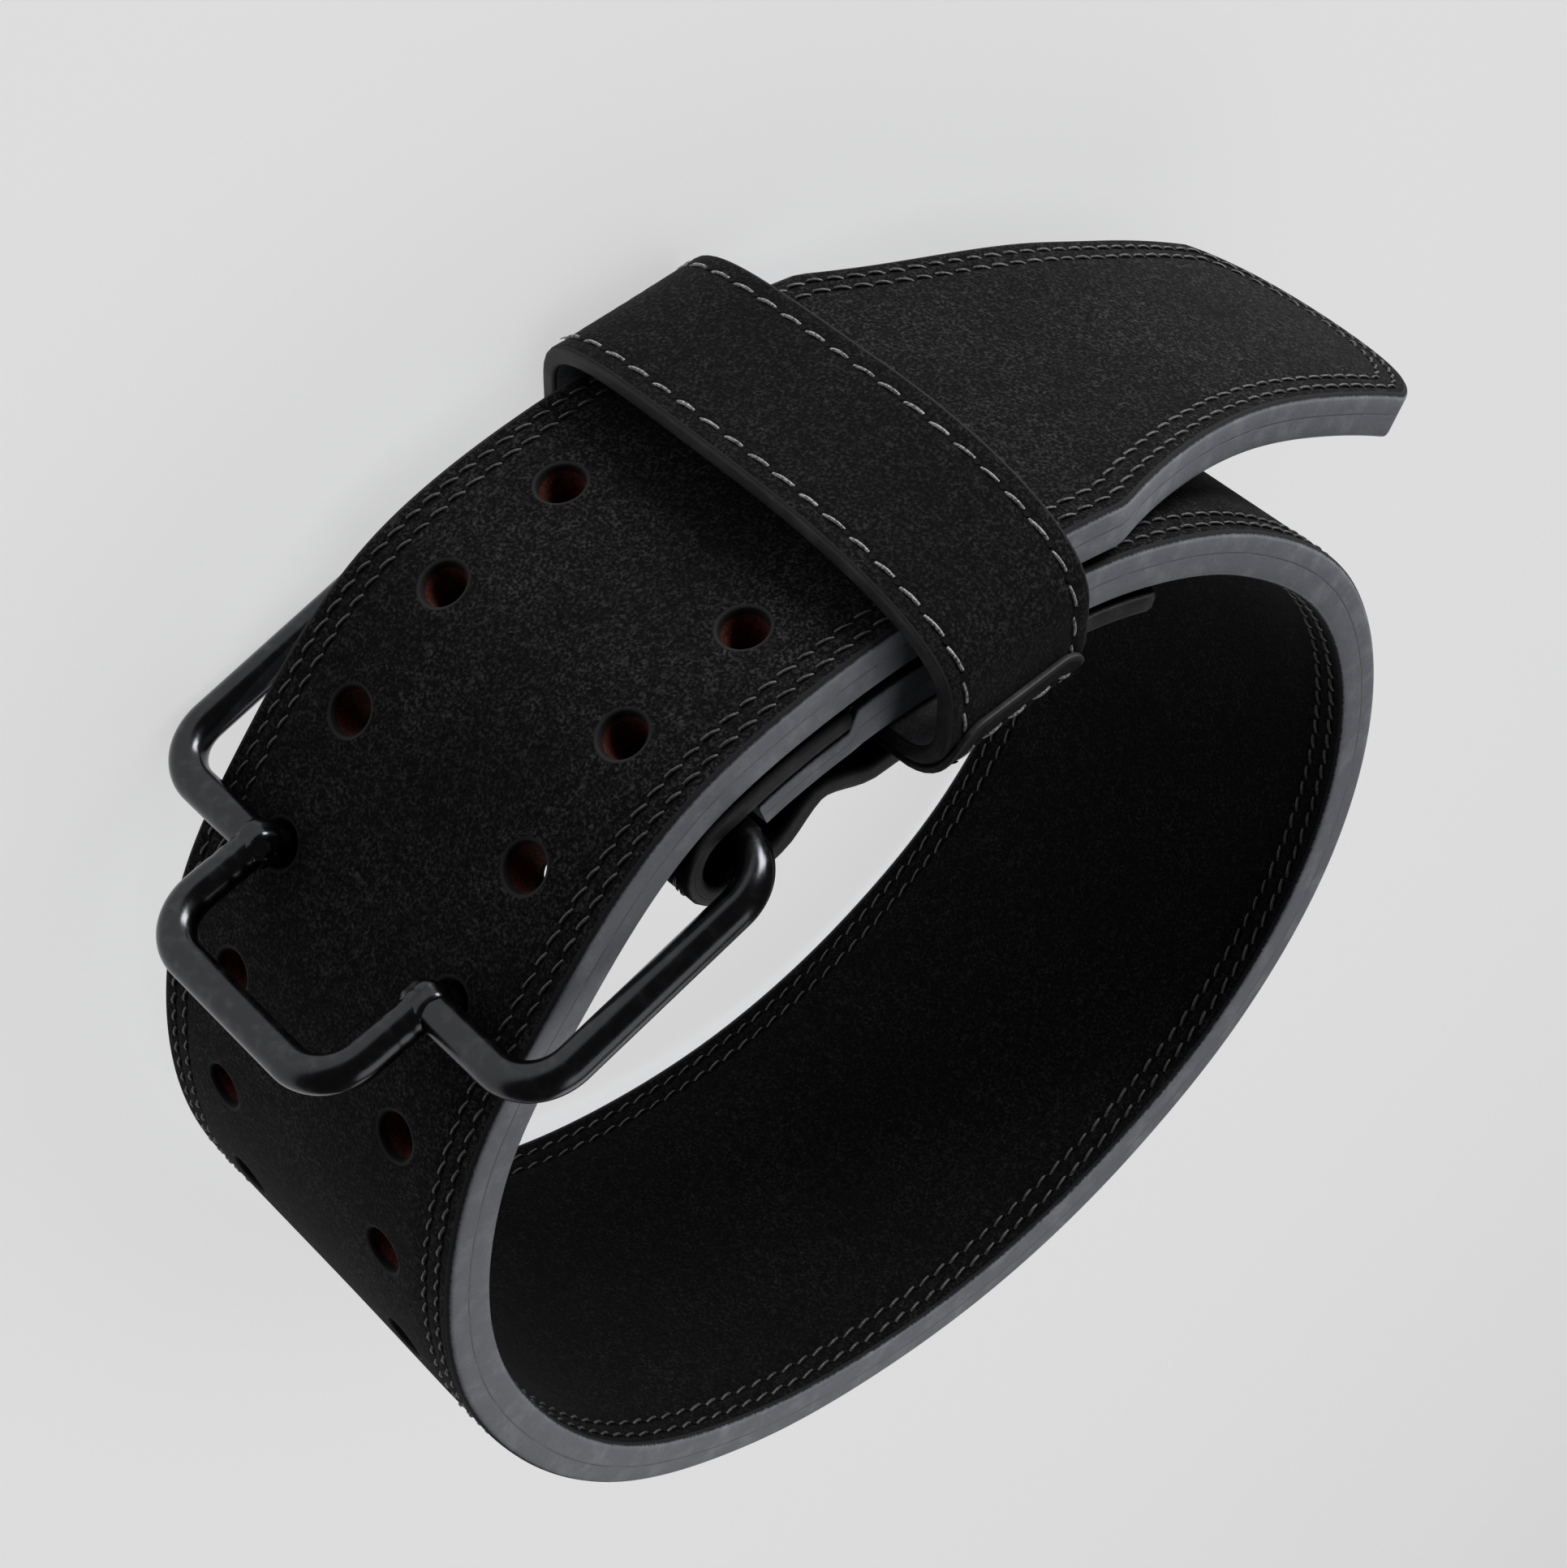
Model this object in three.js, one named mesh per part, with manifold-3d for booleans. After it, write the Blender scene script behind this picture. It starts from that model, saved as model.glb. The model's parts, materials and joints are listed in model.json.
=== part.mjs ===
// A weightlifting belt buckled into its worn loop and standing on its lower edge.
// Millimetres, +Z up. The belt is drawn in its own frame first: the loop's axis is Z, its middle
// is the origin, the strap's lower edge is Z = 0 and the buckle faces -Y. The whole belt is then
// tipped onto the three points that it stands on.
import * as THREE from 'three';
import { mergeVertices } from 'three/addons/utils/BufferGeometryUtils.js';
import Module from 'manifold-3d';

const wasm = await Module();
wasm.setup();

const CLEAR = 0.3; // gap between pieces that touch

const STRAP = {
  width: 100,
  thickness: 11,
  edgeRound: 1.6,
  reach: 124, // mean distance from the loop's middle to the outer face
  startTurn: 5, // degrees round the loop where the buckle end begins
  tail: 307, // from the holes in use to the tip
  facet: 8, // length of one facet along the strap
};

const LAP = {
  play: 1.8, // gap between the two layers of strap
  riseFrom: 295, // degrees round the loop where the outer layer starts to lift
  riseTo: 365,
  springFrom: 385, // past the keeper the free tongue springs away
  springSpan: 60,
  spring: 15.6, // how far it has sprung after that span
  springPower: 3.55,
};

const TONGUE = {
  taper: 78, // length of the hollow-sided taper
  narrow: 32, // length of the parallel part behind the round tip
  tipWidth: 70,
  tipRadius: 38,
  facets: 7, // facets round each side of the tip
  lean: 3.6, // how far the tongue's lower edge leans out
  leanFrom: 178, // past the holes in use
  leanSpan: 55,
  leanPower: 1.5,
};

const HOLES = {
  across: 10,
  spacing: 56, // between the two rows
  pitch: 31.2,
  eachWay: 4, // pairs on each side of the pair in use
  sides: 14,
};

const BUCKLE = {
  wire: 8,
  length: 63.2, // heel bar to front bar
  sideGap: 6, // strap edge to side wire
  bend: 11,
  ride: 1.5, // front bar above the strap's face
  heelGap: 1.7, // heel bar to the end of the strap
  pull: 26, // reach of the finger pull past the front bar
  pullLift: 4, // degrees that the pull is bent up
  prong: 13, // length of a prong below the strap's face
  prongBend: 5,
  weld: 4.9, // radius of a weld bead
  step: 3,
  sides: 5, // half the number of sides of the round wire
};

const TAB = {
  thickness: 4.4,
  foldRadius: 6.6, // inside the fold round the heel bar
  outerLeg: 25,
  innerLeg: 115,
  slack: 1.6, // inner leg to the strap's inner face
  settle: 16, // length in which the inner leg comes down from the fold
  rampUp: 16, // lengths in which it climbs over the keeper and comes down again
  rampDown: 11,
  foldPast: 2.1, // how far past the end of the heel bar the fold begins
  foldFacets: 12,
  facet: 4,
};

const KEEPER = {
  band: 41,
  thickness: 4,
  centre: 131.9, // past the holes in use
  seatGap: 0.4, // gap to the loop's inner face
  shoulder: 8.5, // how far below the tongue's face the band is widest
  overlap: 1.6, // the skived outer end, which lies over the beginning
  overlapFrom: 25, // it starts this far past the strap's centre line
  facets: 14,
};

// The keeper sits askew. The room between its inner face and the strap at its two edges: past the
// strap's lower and upper edge, and over the tongue's face.
const KEEPER_EDGES = [
  { lower: 2.9, upper: 12.6, crown: 7.1 }, // buckle side
  { lower: 5.6, upper: 8, crown: 10.7 }, // tongue side
];

// How square the keeper is over its shoulders, where 2 is round, how far it spreads below them
// and the radius of the bends that lead to its inner side.
const KEEPER_SIDES = {
  lower: { bulge: 4.76, spread: 1.5, corner: 4 },
  upper: { bulge: 2.22, spread: 0, corner: 9 },
};

// The outline of the loop, as the reach of the strap's outer face in shares of STRAP.reach,
// clockwise from the buckle as seen from above.
const LOOP_OUTLINE = [
  { turn: 0, reach: 0.903 },
  { turn: 20, reach: 0.862 },
  { turn: 40, reach: 0.854 },
  { turn: 60, reach: 0.905 },
  { turn: 80, reach: 0.979 },
  { turn: 100, reach: 1.052 },
  { turn: 120, reach: 1.082 },
  { turn: 140, reach: 1.078 },
  { turn: 160, reach: 1.043 },
  { turn: 180, reach: 0.995 },
  { turn: 200, reach: 0.969 },
  { turn: 220, reach: 0.967 },
  { turn: 240, reach: 0.997 },
  { turn: 260, reach: 1.04 },
  { turn: 280, reach: 1.052 },
  { turn: 300, reach: 1.058 },
  { turn: 320, reach: 1.015 },
  { turn: 340, reach: 0.933 },
];

const COLOURS = {
  suede: { color: 0x141416, roughness: 0.95, metalness: 0 },
  tabLeather: { color: 0x2a2b2e, roughness: 0.7, metalness: 0 },
  keeperSuede: { color: 0x18181a, roughness: 0.95, metalness: 0 },
  blackSteel: { color: 0x1c1c1e, roughness: 0.32, metalness: 1 },
};

const FULL_TURN = 360;
const QUARTER_TURN = 90;
const FACE_STEP = 0.5; // degrees between the points of the strap's face
const WELD_REACH = 1e-4; // points nearer than this are one
const MID_WIDTH = STRAP.width / 2;

function ease(share) {
  const x = THREE.MathUtils.clamp(share, 0, 1);
  return x * x * (3 - 2 * x);
}

// A smooth closed curve through the rows of the outline.
function outlineShare(turn) {
  const rows = LOOP_OUTLINE.length;
  const place = (((turn % FULL_TURN) + FULL_TURN) % FULL_TURN) / (FULL_TURN / rows);
  const row = Math.floor(place);
  const [before, from, to, after] = [-1, 0, 1, 2]
    .map((k) => LOOP_OUTLINE[(row + k + rows) % rows].reach);
  const t = place - row;
  const bend = 2 * before - 5 * from + 4 * to - after;
  const twist = -before + 3 * from - 3 * to + after;
  return from + 0.5 * t * (to - before + t * (bend + t * twist));
}

// How far the strap's outer face lies outside the loop's outline at a turn.
function riseAt(turn) {
  const stack = STRAP.thickness + LAP.play;
  const lap = stack * ease((turn - LAP.riseFrom) / (LAP.riseTo - LAP.riseFrom));
  const free = Math.max(0, turn - LAP.springFrom) / LAP.springSpan;
  return lap + LAP.spring * free ** LAP.springPower;
}

function outerFacePoint(turn) {
  const reach = STRAP.reach * outlineShare(turn) + riseAt(turn);
  const angle = THREE.MathUtils.degToRad(-90 - turn);
  return new THREE.Vector2(reach * Math.cos(angle), reach * Math.sin(angle));
}

// The strap's outer face seen from above, measured by length from the buckle end.
class FaceLine {
  constructor(fromTurn, toTurn, stepTurn) {
    this.points = [];
    this.turns = [];
    this.lengths = [0];
    for (let turn = fromTurn; turn <= toTurn; turn += stepTurn) {
      this.points.push(outerFacePoint(turn));
      this.turns.push(turn);
    }
    for (let i = 1; i < this.points.length; i += 1) {
      this.lengths.push(this.lengths[i - 1] + this.points[i].distanceTo(this.points[i - 1]));
    }
  }

  segmentAt(length) {
    let low = 0;
    let high = this.lengths.length - 2;
    while (low < high) {
      const middle = Math.ceil((low + high) / 2);
      if (this.lengths[middle] <= length) low = middle;
      else high = middle - 1;
    }
    return low;
  }

  slopeAt(index) {
    const from = this.points[Math.max(index - 1, 0)];
    const to = this.points[Math.min(index + 1, this.points.length - 1)];
    return to.clone().sub(from).normalize();
  }

  // The place at a length along the face, with the direction along it and into the leather.
  at(length) {
    const i = this.segmentAt(length);
    const share = (length - this.lengths[i]) / (this.lengths[i + 1] - this.lengths[i]);
    const inside = THREE.MathUtils.clamp(share, 0, 1);
    const along = this.slopeAt(i).lerp(this.slopeAt(i + 1), inside).normalize();
    const point = this.points[i].clone().lerp(this.points[i + 1], inside);
    point.addScaledVector(along, (share - inside) * (this.lengths[i + 1] - this.lengths[i]));
    return { point, along, inward: new THREE.Vector2(along.y, -along.x) };
  }

  lengthAtTurn(turn) {
    const step = this.turns[1] - this.turns[0];
    const place = (turn - this.turns[0]) / step;
    const i = Math.floor(place);
    return THREE.MathUtils.lerp(this.lengths[i], this.lengths[i + 1], place - i);
  }

  // A point at a length along the face, a depth below it and a height above the lower edge.
  place(length, depth, height) {
    const { point, inward } = this.at(length);
    return new THREE.Vector3(point.x + inward.x * depth, point.y + inward.y * depth, height);
  }
}

const LONGEST_TURN = 540;
const face = new FaceLine(STRAP.startTurn, LONGEST_TURN, FACE_STEP);

// The heel bar lies against the outer leg of the tab, just off the end of the strap.
const wireRadius = BUCKLE.wire / 2;
const heelLength = -(BUCKLE.heelGap + wireRadius);
const heelDepth = TAB.thickness + CLEAR + wireRadius;
const heel = face.place(heelLength, heelDepth, 0);

// The front bar rides on the outer layer, one buckle length away from the heel bar.
function frontBarLength() {
  let near = face.lengthAtTurn(FULL_TURN - 1);
  let far = face.lengthAtTurn(LAP.riseFrom);
  const reachAt = (length) => face.place(length, -(BUCKLE.ride + wireRadius), 0).distanceTo(heel);
  while (near - far > CLEAR / 100) {
    const middle = (near + far) / 2;
    if (reachAt(middle) > BUCKLE.length) far = middle;
    else near = middle;
  }
  return near;
}

const holesInUse = frontBarLength();
const tipLength = holesInUse + STRAP.tail;
const keeperLength = holesInUse + KEEPER.centre;

// Half the width of the strap at a distance from its tip.
function halfWidthAt(fromTip) {
  const narrow = TONGUE.tipWidth / 2;
  const { tipRadius } = TONGUE;
  const roundLength = tipRadius - Math.sqrt(tipRadius ** 2 - narrow ** 2);
  if (fromTip < roundLength) return Math.sqrt(tipRadius ** 2 - (tipRadius - fromTip) ** 2);
  const intoTaper = fromTip - roundLength - TONGUE.narrow;
  const share = THREE.MathUtils.clamp(intoTaper / TONGUE.taper, 0, 1);
  return narrow + (MID_WIDTH - narrow) * share ** 2;
}

function toGeometry(positions, indices) {
  const geometry = new THREE.BufferGeometry();
  geometry.setAttribute('position', new THREE.Float32BufferAttribute(positions, 3));
  geometry.setIndex(indices);
  return geometry;
}

// A closed skin through rings of as many points each, run the same way round.
function loft(rings) {
  const sides = rings[0].length;
  const positions = rings.flat().flatMap((point) => point.toArray());
  const indices = [];
  for (let ring = 0; ring + 1 < rings.length; ring += 1) {
    for (let side = 0; side < sides; side += 1) {
      const next = (side + 1) % sides;
      const [a, b] = [ring * sides + side, ring * sides + next];
      indices.push(a, b + sides, b, a, a + sides, b + sides);
    }
  }
  const last = (rings.length - 1) * sides;
  for (let side = 1; side + 1 < sides; side += 1) {
    indices.push(0, side, side + 1, last, last + side + 1, last + side);
  }
  return toGeometry(positions, indices);
}

function toSolid(geometry) {
  const bare = geometry.clone();
  bare.deleteAttribute('normal');
  bare.deleteAttribute('uv');
  const merged = mergeVertices(bare, WELD_REACH);
  return new wasm.Manifold(new wasm.Mesh({
    numProp: 3,
    vertProperties: new Float32Array(merged.attributes.position.array),
    triVerts: new Uint32Array(merged.index.array),
  }));
}

function fromSolid(solid) {
  const { vertProperties, triVerts } = solid.getMesh();
  return toGeometry(Array.from(vertProperties), Array.from(triVerts));
}

// The strap's section: a flat bar with rounded edges, as pairs of depth and height.
function strapSection(halfWidth) {
  const round = Math.min(STRAP.edgeRound, halfWidth / 2);
  const [outer, inner] = [round, STRAP.thickness - round];
  const [lower, upper] = [MID_WIDTH - halfWidth + round, MID_WIDTH + halfWidth - round];
  const corners = [[outer, lower], [inner, lower], [inner, upper], [outer, upper]];
  return corners.flatMap(([depth, height], quarter) => [0, 1 / 2, 1].map((part) => {
    const angle = THREE.MathUtils.degToRad((quarter + 2 + part) * QUARTER_TURN);
    return [depth + round * Math.cos(angle), height + round * Math.sin(angle)];
  }));
}

function strapStations() {
  const { tipRadius, tipWidth, facets } = TONGUE;
  const widest = Math.asin(tipWidth / 2 / tipRadius);
  const roundLength = tipRadius * (1 - Math.cos(widest));
  const roundFrom = tipLength - roundLength;
  const narrowFrom = roundFrom - TONGUE.narrow;
  const ends = [0, narrowFrom - TONGUE.taper, narrowFrom, roundFrom];
  const stations = [];
  for (let part = 0; part + 1 < ends.length; part += 1) {
    const count = Math.ceil((ends[part + 1] - ends[part]) / STRAP.facet);
    for (let k = 0; k < count; k += 1) {
      stations.push(THREE.MathUtils.lerp(ends[part], ends[part + 1], k / count));
    }
  }
  for (let k = facets; k > 0; k -= 1) {
    stations.push(tipLength - tipRadius * (1 - Math.cos((widest * k) / facets)));
  }
  return stations;
}

function holeCutters() {
  const cutters = [];
  for (let pair = -HOLES.eachWay; pair <= HOLES.eachWay; pair += 1) {
    const length = holesInUse + pair * HOLES.pitch;
    const { inward } = face.at(length);
    for (const side of [-1, 1]) {
      const cutter = new THREE.CylinderGeometry(
        HOLES.across / 2, HOLES.across / 2, STRAP.thickness * 2, HOLES.sides);
      const height = MID_WIDTH + (side * HOLES.spacing) / 2;
      const centre = face.place(length, STRAP.thickness / 2, height);
      const turn = new THREE.Quaternion().setFromUnitVectors(
        new THREE.Vector3(0, 1, 0), new THREE.Vector3(inward.x, inward.y, 0));
      cutter.applyMatrix4(new THREE.Matrix4().compose(centre, turn, new THREE.Vector3(1, 1, 1)));
      cutters.push(toSolid(cutter));
    }
  }
  return cutters;
}

// The step in the strap's outer face that the tab's outer leg fills.
function tabSeatCutter() {
  const over = STRAP.edgeRound;
  const floor = TAB.thickness + CLEAR;
  const rings = [];
  const count = Math.ceil(TAB.outerLeg / TAB.facet);
  for (let k = 0; k <= count; k += 1) {
    const length = THREE.MathUtils.lerp(-over, TAB.outerLeg + CLEAR, k / count);
    rings.push([[-over, -over], [floor, -over], [floor, STRAP.width + over], [-over, STRAP.width + over]]
      .map(([depth, height]) => face.place(length, depth, height)));
  }
  return toSolid(loft(rings));
}

// How far the tongue leans out of the loop, which it does along its lower edge.
function leanAt(length, height) {
  const share = ease((length - holesInUse - TONGUE.leanFrom) / TONGUE.leanSpan);
  return TONGUE.lean * share * Math.max(0, 1 - height / STRAP.width) ** TONGUE.leanPower;
}

function strapGeometry() {
  const rings = strapStations().map((length) => strapSection(halfWidthAt(tipLength - length))
    .map(([depth, height]) => face.place(length, depth - leanAt(length, height), height)));
  let solid = toSolid(loft(rings)).subtract(tabSeatCutter());
  for (const cutter of holeCutters()) solid = solid.subtract(cutter);
  return fromSolid(solid);
}

// The keeper's own frame: X across the strap, Y inward from the tongue's face, Z along the strap.
function keeperFrame() {
  const { point, along, inward } = face.at(keeperLength);
  return new THREE.Matrix4().makeBasis(
    new THREE.Vector3(0, 0, 1),
    new THREE.Vector3(inward.x, inward.y, 0),
    new THREE.Vector3(along.x, along.y, 0),
  ).setPosition(point.x, point.y, MID_WIDTH);
}

// Where the inner layer lies under the keeper: how deep its inner face is at the keeper's edges,
// and which stretch of the strap the keeper covers.
function keeperSeat() {
  const { point, along, inward } = face.at(keeperLength);
  const half = KEEPER.band / 2;
  const end = face.lengthAtTurn(FULL_TURN / 2);
  const seat = { depth: 0, middleDepth: 0, from: end, to: 0 };
  for (let length = 0; length < end; length += 1) {
    const inner = face.place(length, STRAP.thickness, 0);
    const offset = new THREE.Vector2(inner.x, inner.y).sub(point);
    const place = offset.dot(along);
    if (Math.abs(place) <= half) {
      const depth = offset.dot(inward);
      seat.depth = Math.max(seat.depth, depth);
      seat.middleDepth = Math.abs(place) < 1 ? depth : seat.middleDepth;
      seat.from = Math.min(seat.from, length);
      seat.to = Math.max(seat.to, length);
    }
  }
  return seat;
}

const seat = keeperSeat();

// A quarter of the keeper's crown: a superellipse from where the band is widest to its top.
function crownQuarter(bulge, share) {
  const angle = (share * Math.PI) / 2;
  const [across, over] = [Math.cos(angle), Math.sin(angle)];
  const size = (across ** bulge + over ** bulge) ** (1 / bulge);
  return [across / size, over / size];
}

// The sizes of the keeper's section at a share of the way from its buckle side to its tongue
// side, at a distance outside its inner face.
function keeperSizes(share, out) {
  const [from, to] = KEEPER_EDGES;
  const between = (name) => THREE.MathUtils.lerp(from[name], to[name], share) + out;
  return {
    lower: MID_WIDTH + between('lower'),
    upper: MID_WIDTH + between('upper'),
    crown: between('crown'),
    run: seat.depth + KEEPER.seatGap + out,
    out,
  };
}

// The shares of the way round a bend at which its points lie.
const BEND_SHARES = [...Array(KEEPER.facets + 1).keys()].map((k) => k / KEEPER.facets);

// The bend at an inner corner of the keeper, from the side of the band to its inner run.
function keeperCorner({ run, out }, reach, { spread, corner }) {
  const radius = corner + out;
  return BEND_SHARES.map((share) => {
    const angle = (share * Math.PI) / 2;
    const across = reach + spread + radius * (Math.cos(angle) - 1);
    return [across, run + radius * (Math.sin(angle) - 1)];
  });
}

// The keeper's closed section, as pairs of place across the strap and depth.
function keeperSection(sizes) {
  const rise = sizes.crown + KEEPER.shoulder;
  const over = (reach, { bulge }) => BEND_SHARES.map((share) => {
    const [across, high] = crownQuarter(bulge, share);
    return [reach * across, KEEPER.shoulder - rise * high];
  });
  const mirrored = (points) => points.map(([across, depth]) => [-across, depth]);
  return [
    ...keeperCorner(sizes, sizes.upper, KEEPER_SIDES.upper),
    ...mirrored(keeperCorner(sizes, sizes.lower, KEEPER_SIDES.lower)).reverse(),
    ...mirrored(over(sizes.lower, KEEPER_SIDES.lower)).slice(0, -1),
    ...over(sizes.upper, KEEPER_SIDES.upper).reverse(),
  ];
}

// Where the skived outer end lies over the beginning: the inner side and the upper corner.
function overlapPlace() {
  const waist = keeperSizes(0, 0).run - KEEPER_SIDES.upper.corner;
  const reach = STRAP.width;
  const place = new THREE.BoxGeometry(reach, reach, reach);
  place.translate(reach / 2 - KEEPER.overlapFrom, reach / 2 + waist, 0);
  return toSolid(place.applyMatrix4(keeperFrame()));
}

// The keeper filled in, up to a distance outside its inner face. Its section changes evenly along
// the strap, and there may be some to spare at its ends.
function keeperFilled(out, spare) {
  const rings = [1 + spare, -spare].map((share) => keeperSection(keeperSizes(share, out))
    .map(([across, depth]) => new THREE.Vector3(across, depth, (share - 1 / 2) * KEEPER.band)));
  return toSolid(loft(rings).applyMatrix4(keeperFrame()));
}

function keeperGeometry() {
  const band = keeperFilled(KEEPER.thickness, 0);
  const overlap = keeperFilled(KEEPER.thickness + KEEPER.overlap, 0).intersect(overlapPlace());
  return fromSolid(band.add(overlap).subtract(keeperFilled(0, CLEAR)));
}

// The gap between the tab's inner leg and the strap's inner face. It starts wide at the fold,
// closes, climbs over both layers of the keeper and closes again.
function tabGap(length) {
  const foldGap = 2 * TAB.foldRadius + TAB.thickness - STRAP.thickness;
  const sag = seat.depth - seat.middleDepth;
  const stack = KEEPER.seatGap + KEEPER.thickness + KEEPER.overlap + CLEAR;
  const climb = stack + sag - TAB.slack;
  const down = 1 - ease(length / TAB.settle);
  const up = ease((length - seat.from + TAB.facet + TAB.rampUp) / TAB.rampUp);
  const off = 1 - ease((length - seat.to - TAB.facet) / TAB.rampDown);
  return TAB.slack + (foldGap - TAB.slack) * down + climb * up * off;
}

// The middle of the tab's leather seen from above: outer leg, fold and inner leg.
function tabLine() {
  const half = TAB.thickness / 2;
  const foldLength = heelLength - BUCKLE.heelGap - TAB.foldPast;
  const foldReach = TAB.foldRadius + half;
  const foldDepth = half + foldReach;
  const line = [];
  for (let length = TAB.outerLeg; length > foldLength; length -= TAB.facet) {
    line.push(face.place(length, half, 0));
  }
  for (let k = 0; k <= TAB.foldFacets; k += 1) {
    const angle = (Math.PI * k) / TAB.foldFacets;
    const length = foldLength - foldReach * Math.sin(angle);
    line.push(face.place(length, foldDepth - foldReach * Math.cos(angle), 0));
  }
  const count = Math.ceil((TAB.innerLeg - foldLength) / TAB.facet);
  for (let k = 1; k <= count; k += 1) {
    const length = THREE.MathUtils.lerp(foldLength, TAB.innerLeg, k / count);
    line.push(face.place(length, STRAP.thickness + tabGap(length) + half, 0));
  }
  return line.map((point) => new THREE.Vector2(point.x, point.y));
}

// A strip of even thickness along a line, as the outline of its edge.
function stripShape(line, thickness) {
  const sideAt = (i) => {
    const from = line[Math.max(i - 1, 0)];
    const to = line[Math.min(i + 1, line.length - 1)];
    const along = to.clone().sub(from).normalize();
    return new THREE.Vector2(along.y, -along.x).multiplyScalar(thickness / 2);
  };
  const right = line.map((point, i) => point.clone().add(sideAt(i)));
  const left = line.map((point, i) => point.clone().sub(sideAt(i)));
  return new THREE.Shape([...right, ...left.reverse()]);
}

function tabGeometry() {
  return new THREE.ExtrudeGeometry(stripShape(tabLine(), TAB.thickness), {
    depth: STRAP.width,
    bevelEnabled: false,
  });
}

// A quarter turn or less of bent wire, from one straight stretch to the next.
class Bend extends THREE.Curve {
  constructor(centre, start, end) {
    super();
    this.centre = centre;
    this.start = start.clone().sub(centre);
    this.axis = this.start.clone().cross(end.clone().sub(centre)).normalize();
    this.angle = this.start.angleTo(end.clone().sub(centre));
  }

  getPoint(t) {
    return this.start.clone().applyAxisAngle(this.axis, this.angle * t).add(this.centre);
  }
}

// The middle line of a wire through corner points, each corner rounded to its radius.
function bentLine(corners) {
  const path = new THREE.CurvePath();
  let from = corners[0].point;
  for (let i = 1; i + 1 < corners.length; i += 1) {
    const { point, radius } = corners[i];
    const back = corners[i - 1].point.clone().sub(point).normalize();
    const ahead = corners[i + 1].point.clone().sub(point).normalize();
    const halfAngle = back.angleTo(ahead) / 2;
    const trim = radius / Math.tan(halfAngle);
    const start = point.clone().addScaledVector(back, trim);
    const end = point.clone().addScaledVector(ahead, trim);
    const middle = back.clone().add(ahead).normalize();
    const centre = point.clone().addScaledVector(middle, radius / Math.sin(halfAngle));
    path.add(new THREE.LineCurve3(from, start));
    path.add(new Bend(centre, start, end));
    from = end;
  }
  path.add(new THREE.LineCurve3(from, corners[corners.length - 1].point));
  return path;
}

function wireSolid(corners) {
  const path = bentLine(corners);
  const circle = new THREE.Shape().absarc(0, 0, wireRadius, 0, 2 * Math.PI);
  return toSolid(new THREE.ExtrudeGeometry(circle, {
    steps: Math.ceil(path.getLength() / BUCKLE.step),
    curveSegments: BUCKLE.sides,
    extrudePath: path,
  }));
}

const front = face.place(holesInUse, -(BUCKLE.ride + wireRadius), 0);
const frameAlong = front.clone().sub(heel).normalize();
const sideReach = MID_WIDTH + BUCKLE.sideGap + wireRadius;
const atHeight = (point, across) => new THREE.Vector3(point.x, point.y, MID_WIDTH + across);

// The frame's wire: from one end of the split front bar round the heel to the other end.
function frameCorners() {
  return [
    { point: atHeight(front, HOLES.spacing / 2) },
    { point: atHeight(front, sideReach), radius: BUCKLE.bend },
    { point: atHeight(heel, sideReach), radius: BUCKLE.bend },
    { point: atHeight(heel, -sideReach), radius: BUCKLE.bend },
    { point: atHeight(front, -sideReach), radius: BUCKLE.bend },
    { point: atHeight(front, -HOLES.spacing / 2) },
  ];
}

// The second wire: a prong, the finger pull and the other prong.
function pullCorners() {
  const lift = THREE.MathUtils.degToRad(-BUCKLE.pullLift);
  const reach = frameAlong.clone().applyAxisAngle(new THREE.Vector3(0, 0, 1), lift);
  const pullEnd = front.clone().addScaledVector(reach, BUCKLE.pull);
  const prongEnd = face.place(holesInUse, BUCKLE.prong, 0);
  const half = HOLES.spacing / 2;
  return [
    { point: atHeight(prongEnd, half) },
    { point: atHeight(front, half), radius: BUCKLE.prongBend },
    { point: atHeight(pullEnd, half), radius: BUCKLE.bend },
    { point: atHeight(pullEnd, -half), radius: BUCKLE.bend },
    { point: atHeight(front, -half), radius: BUCKLE.prongBend },
    { point: atHeight(prongEnd, -half) },
  ];
}

function buckleGeometry() {
  let solid = wireSolid(frameCorners()).add(wireSolid(pullCorners()));
  for (const side of [-1, 1]) {
    const bead = new THREE.SphereGeometry(BUCKLE.weld, 2 * BUCKLE.sides, BUCKLE.sides);
    const joint = atHeight(front, (side * HOLES.spacing) / 2);
    bead.translate(joint.x, joint.y, joint.z);
    solid = solid.add(toSolid(bead));
  }
  return fromSolid(solid);
}

// The points that the belt can stand on: the ends of the lower side wire, the keeper's lower
// corners and the strap's lower edge.
function feet() {
  const points = [heel, front].map((bar) => atHeight(bar, -(sideReach + wireRadius)));
  const bendShare = BUCKLE.bend / BUCKLE.length;
  const wireFeet = [bendShare, 1 - bendShare].map((share) => points[0].clone().lerp(points[1], share));
  const keeperFeet = [0, 1].map((share) => {
    const sizes = keeperSizes(share, KEEPER.thickness);
    const [across, depth] = keeperCorner(sizes, sizes.lower, KEEPER_SIDES.lower)[0];
    const foot = new THREE.Vector3(-across, depth, (share - 1 / 2) * KEEPER.band);
    return foot.applyMatrix4(keeperFrame());
  });
  const edgeFeet = [];
  for (let length = 0; length < holesInUse; length += STRAP.facet) {
    edgeFeet.push(face.place(length, STRAP.edgeRound, 0));
  }
  return [...wireFeet, ...keeperFeet, ...edgeFeet];
}

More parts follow.
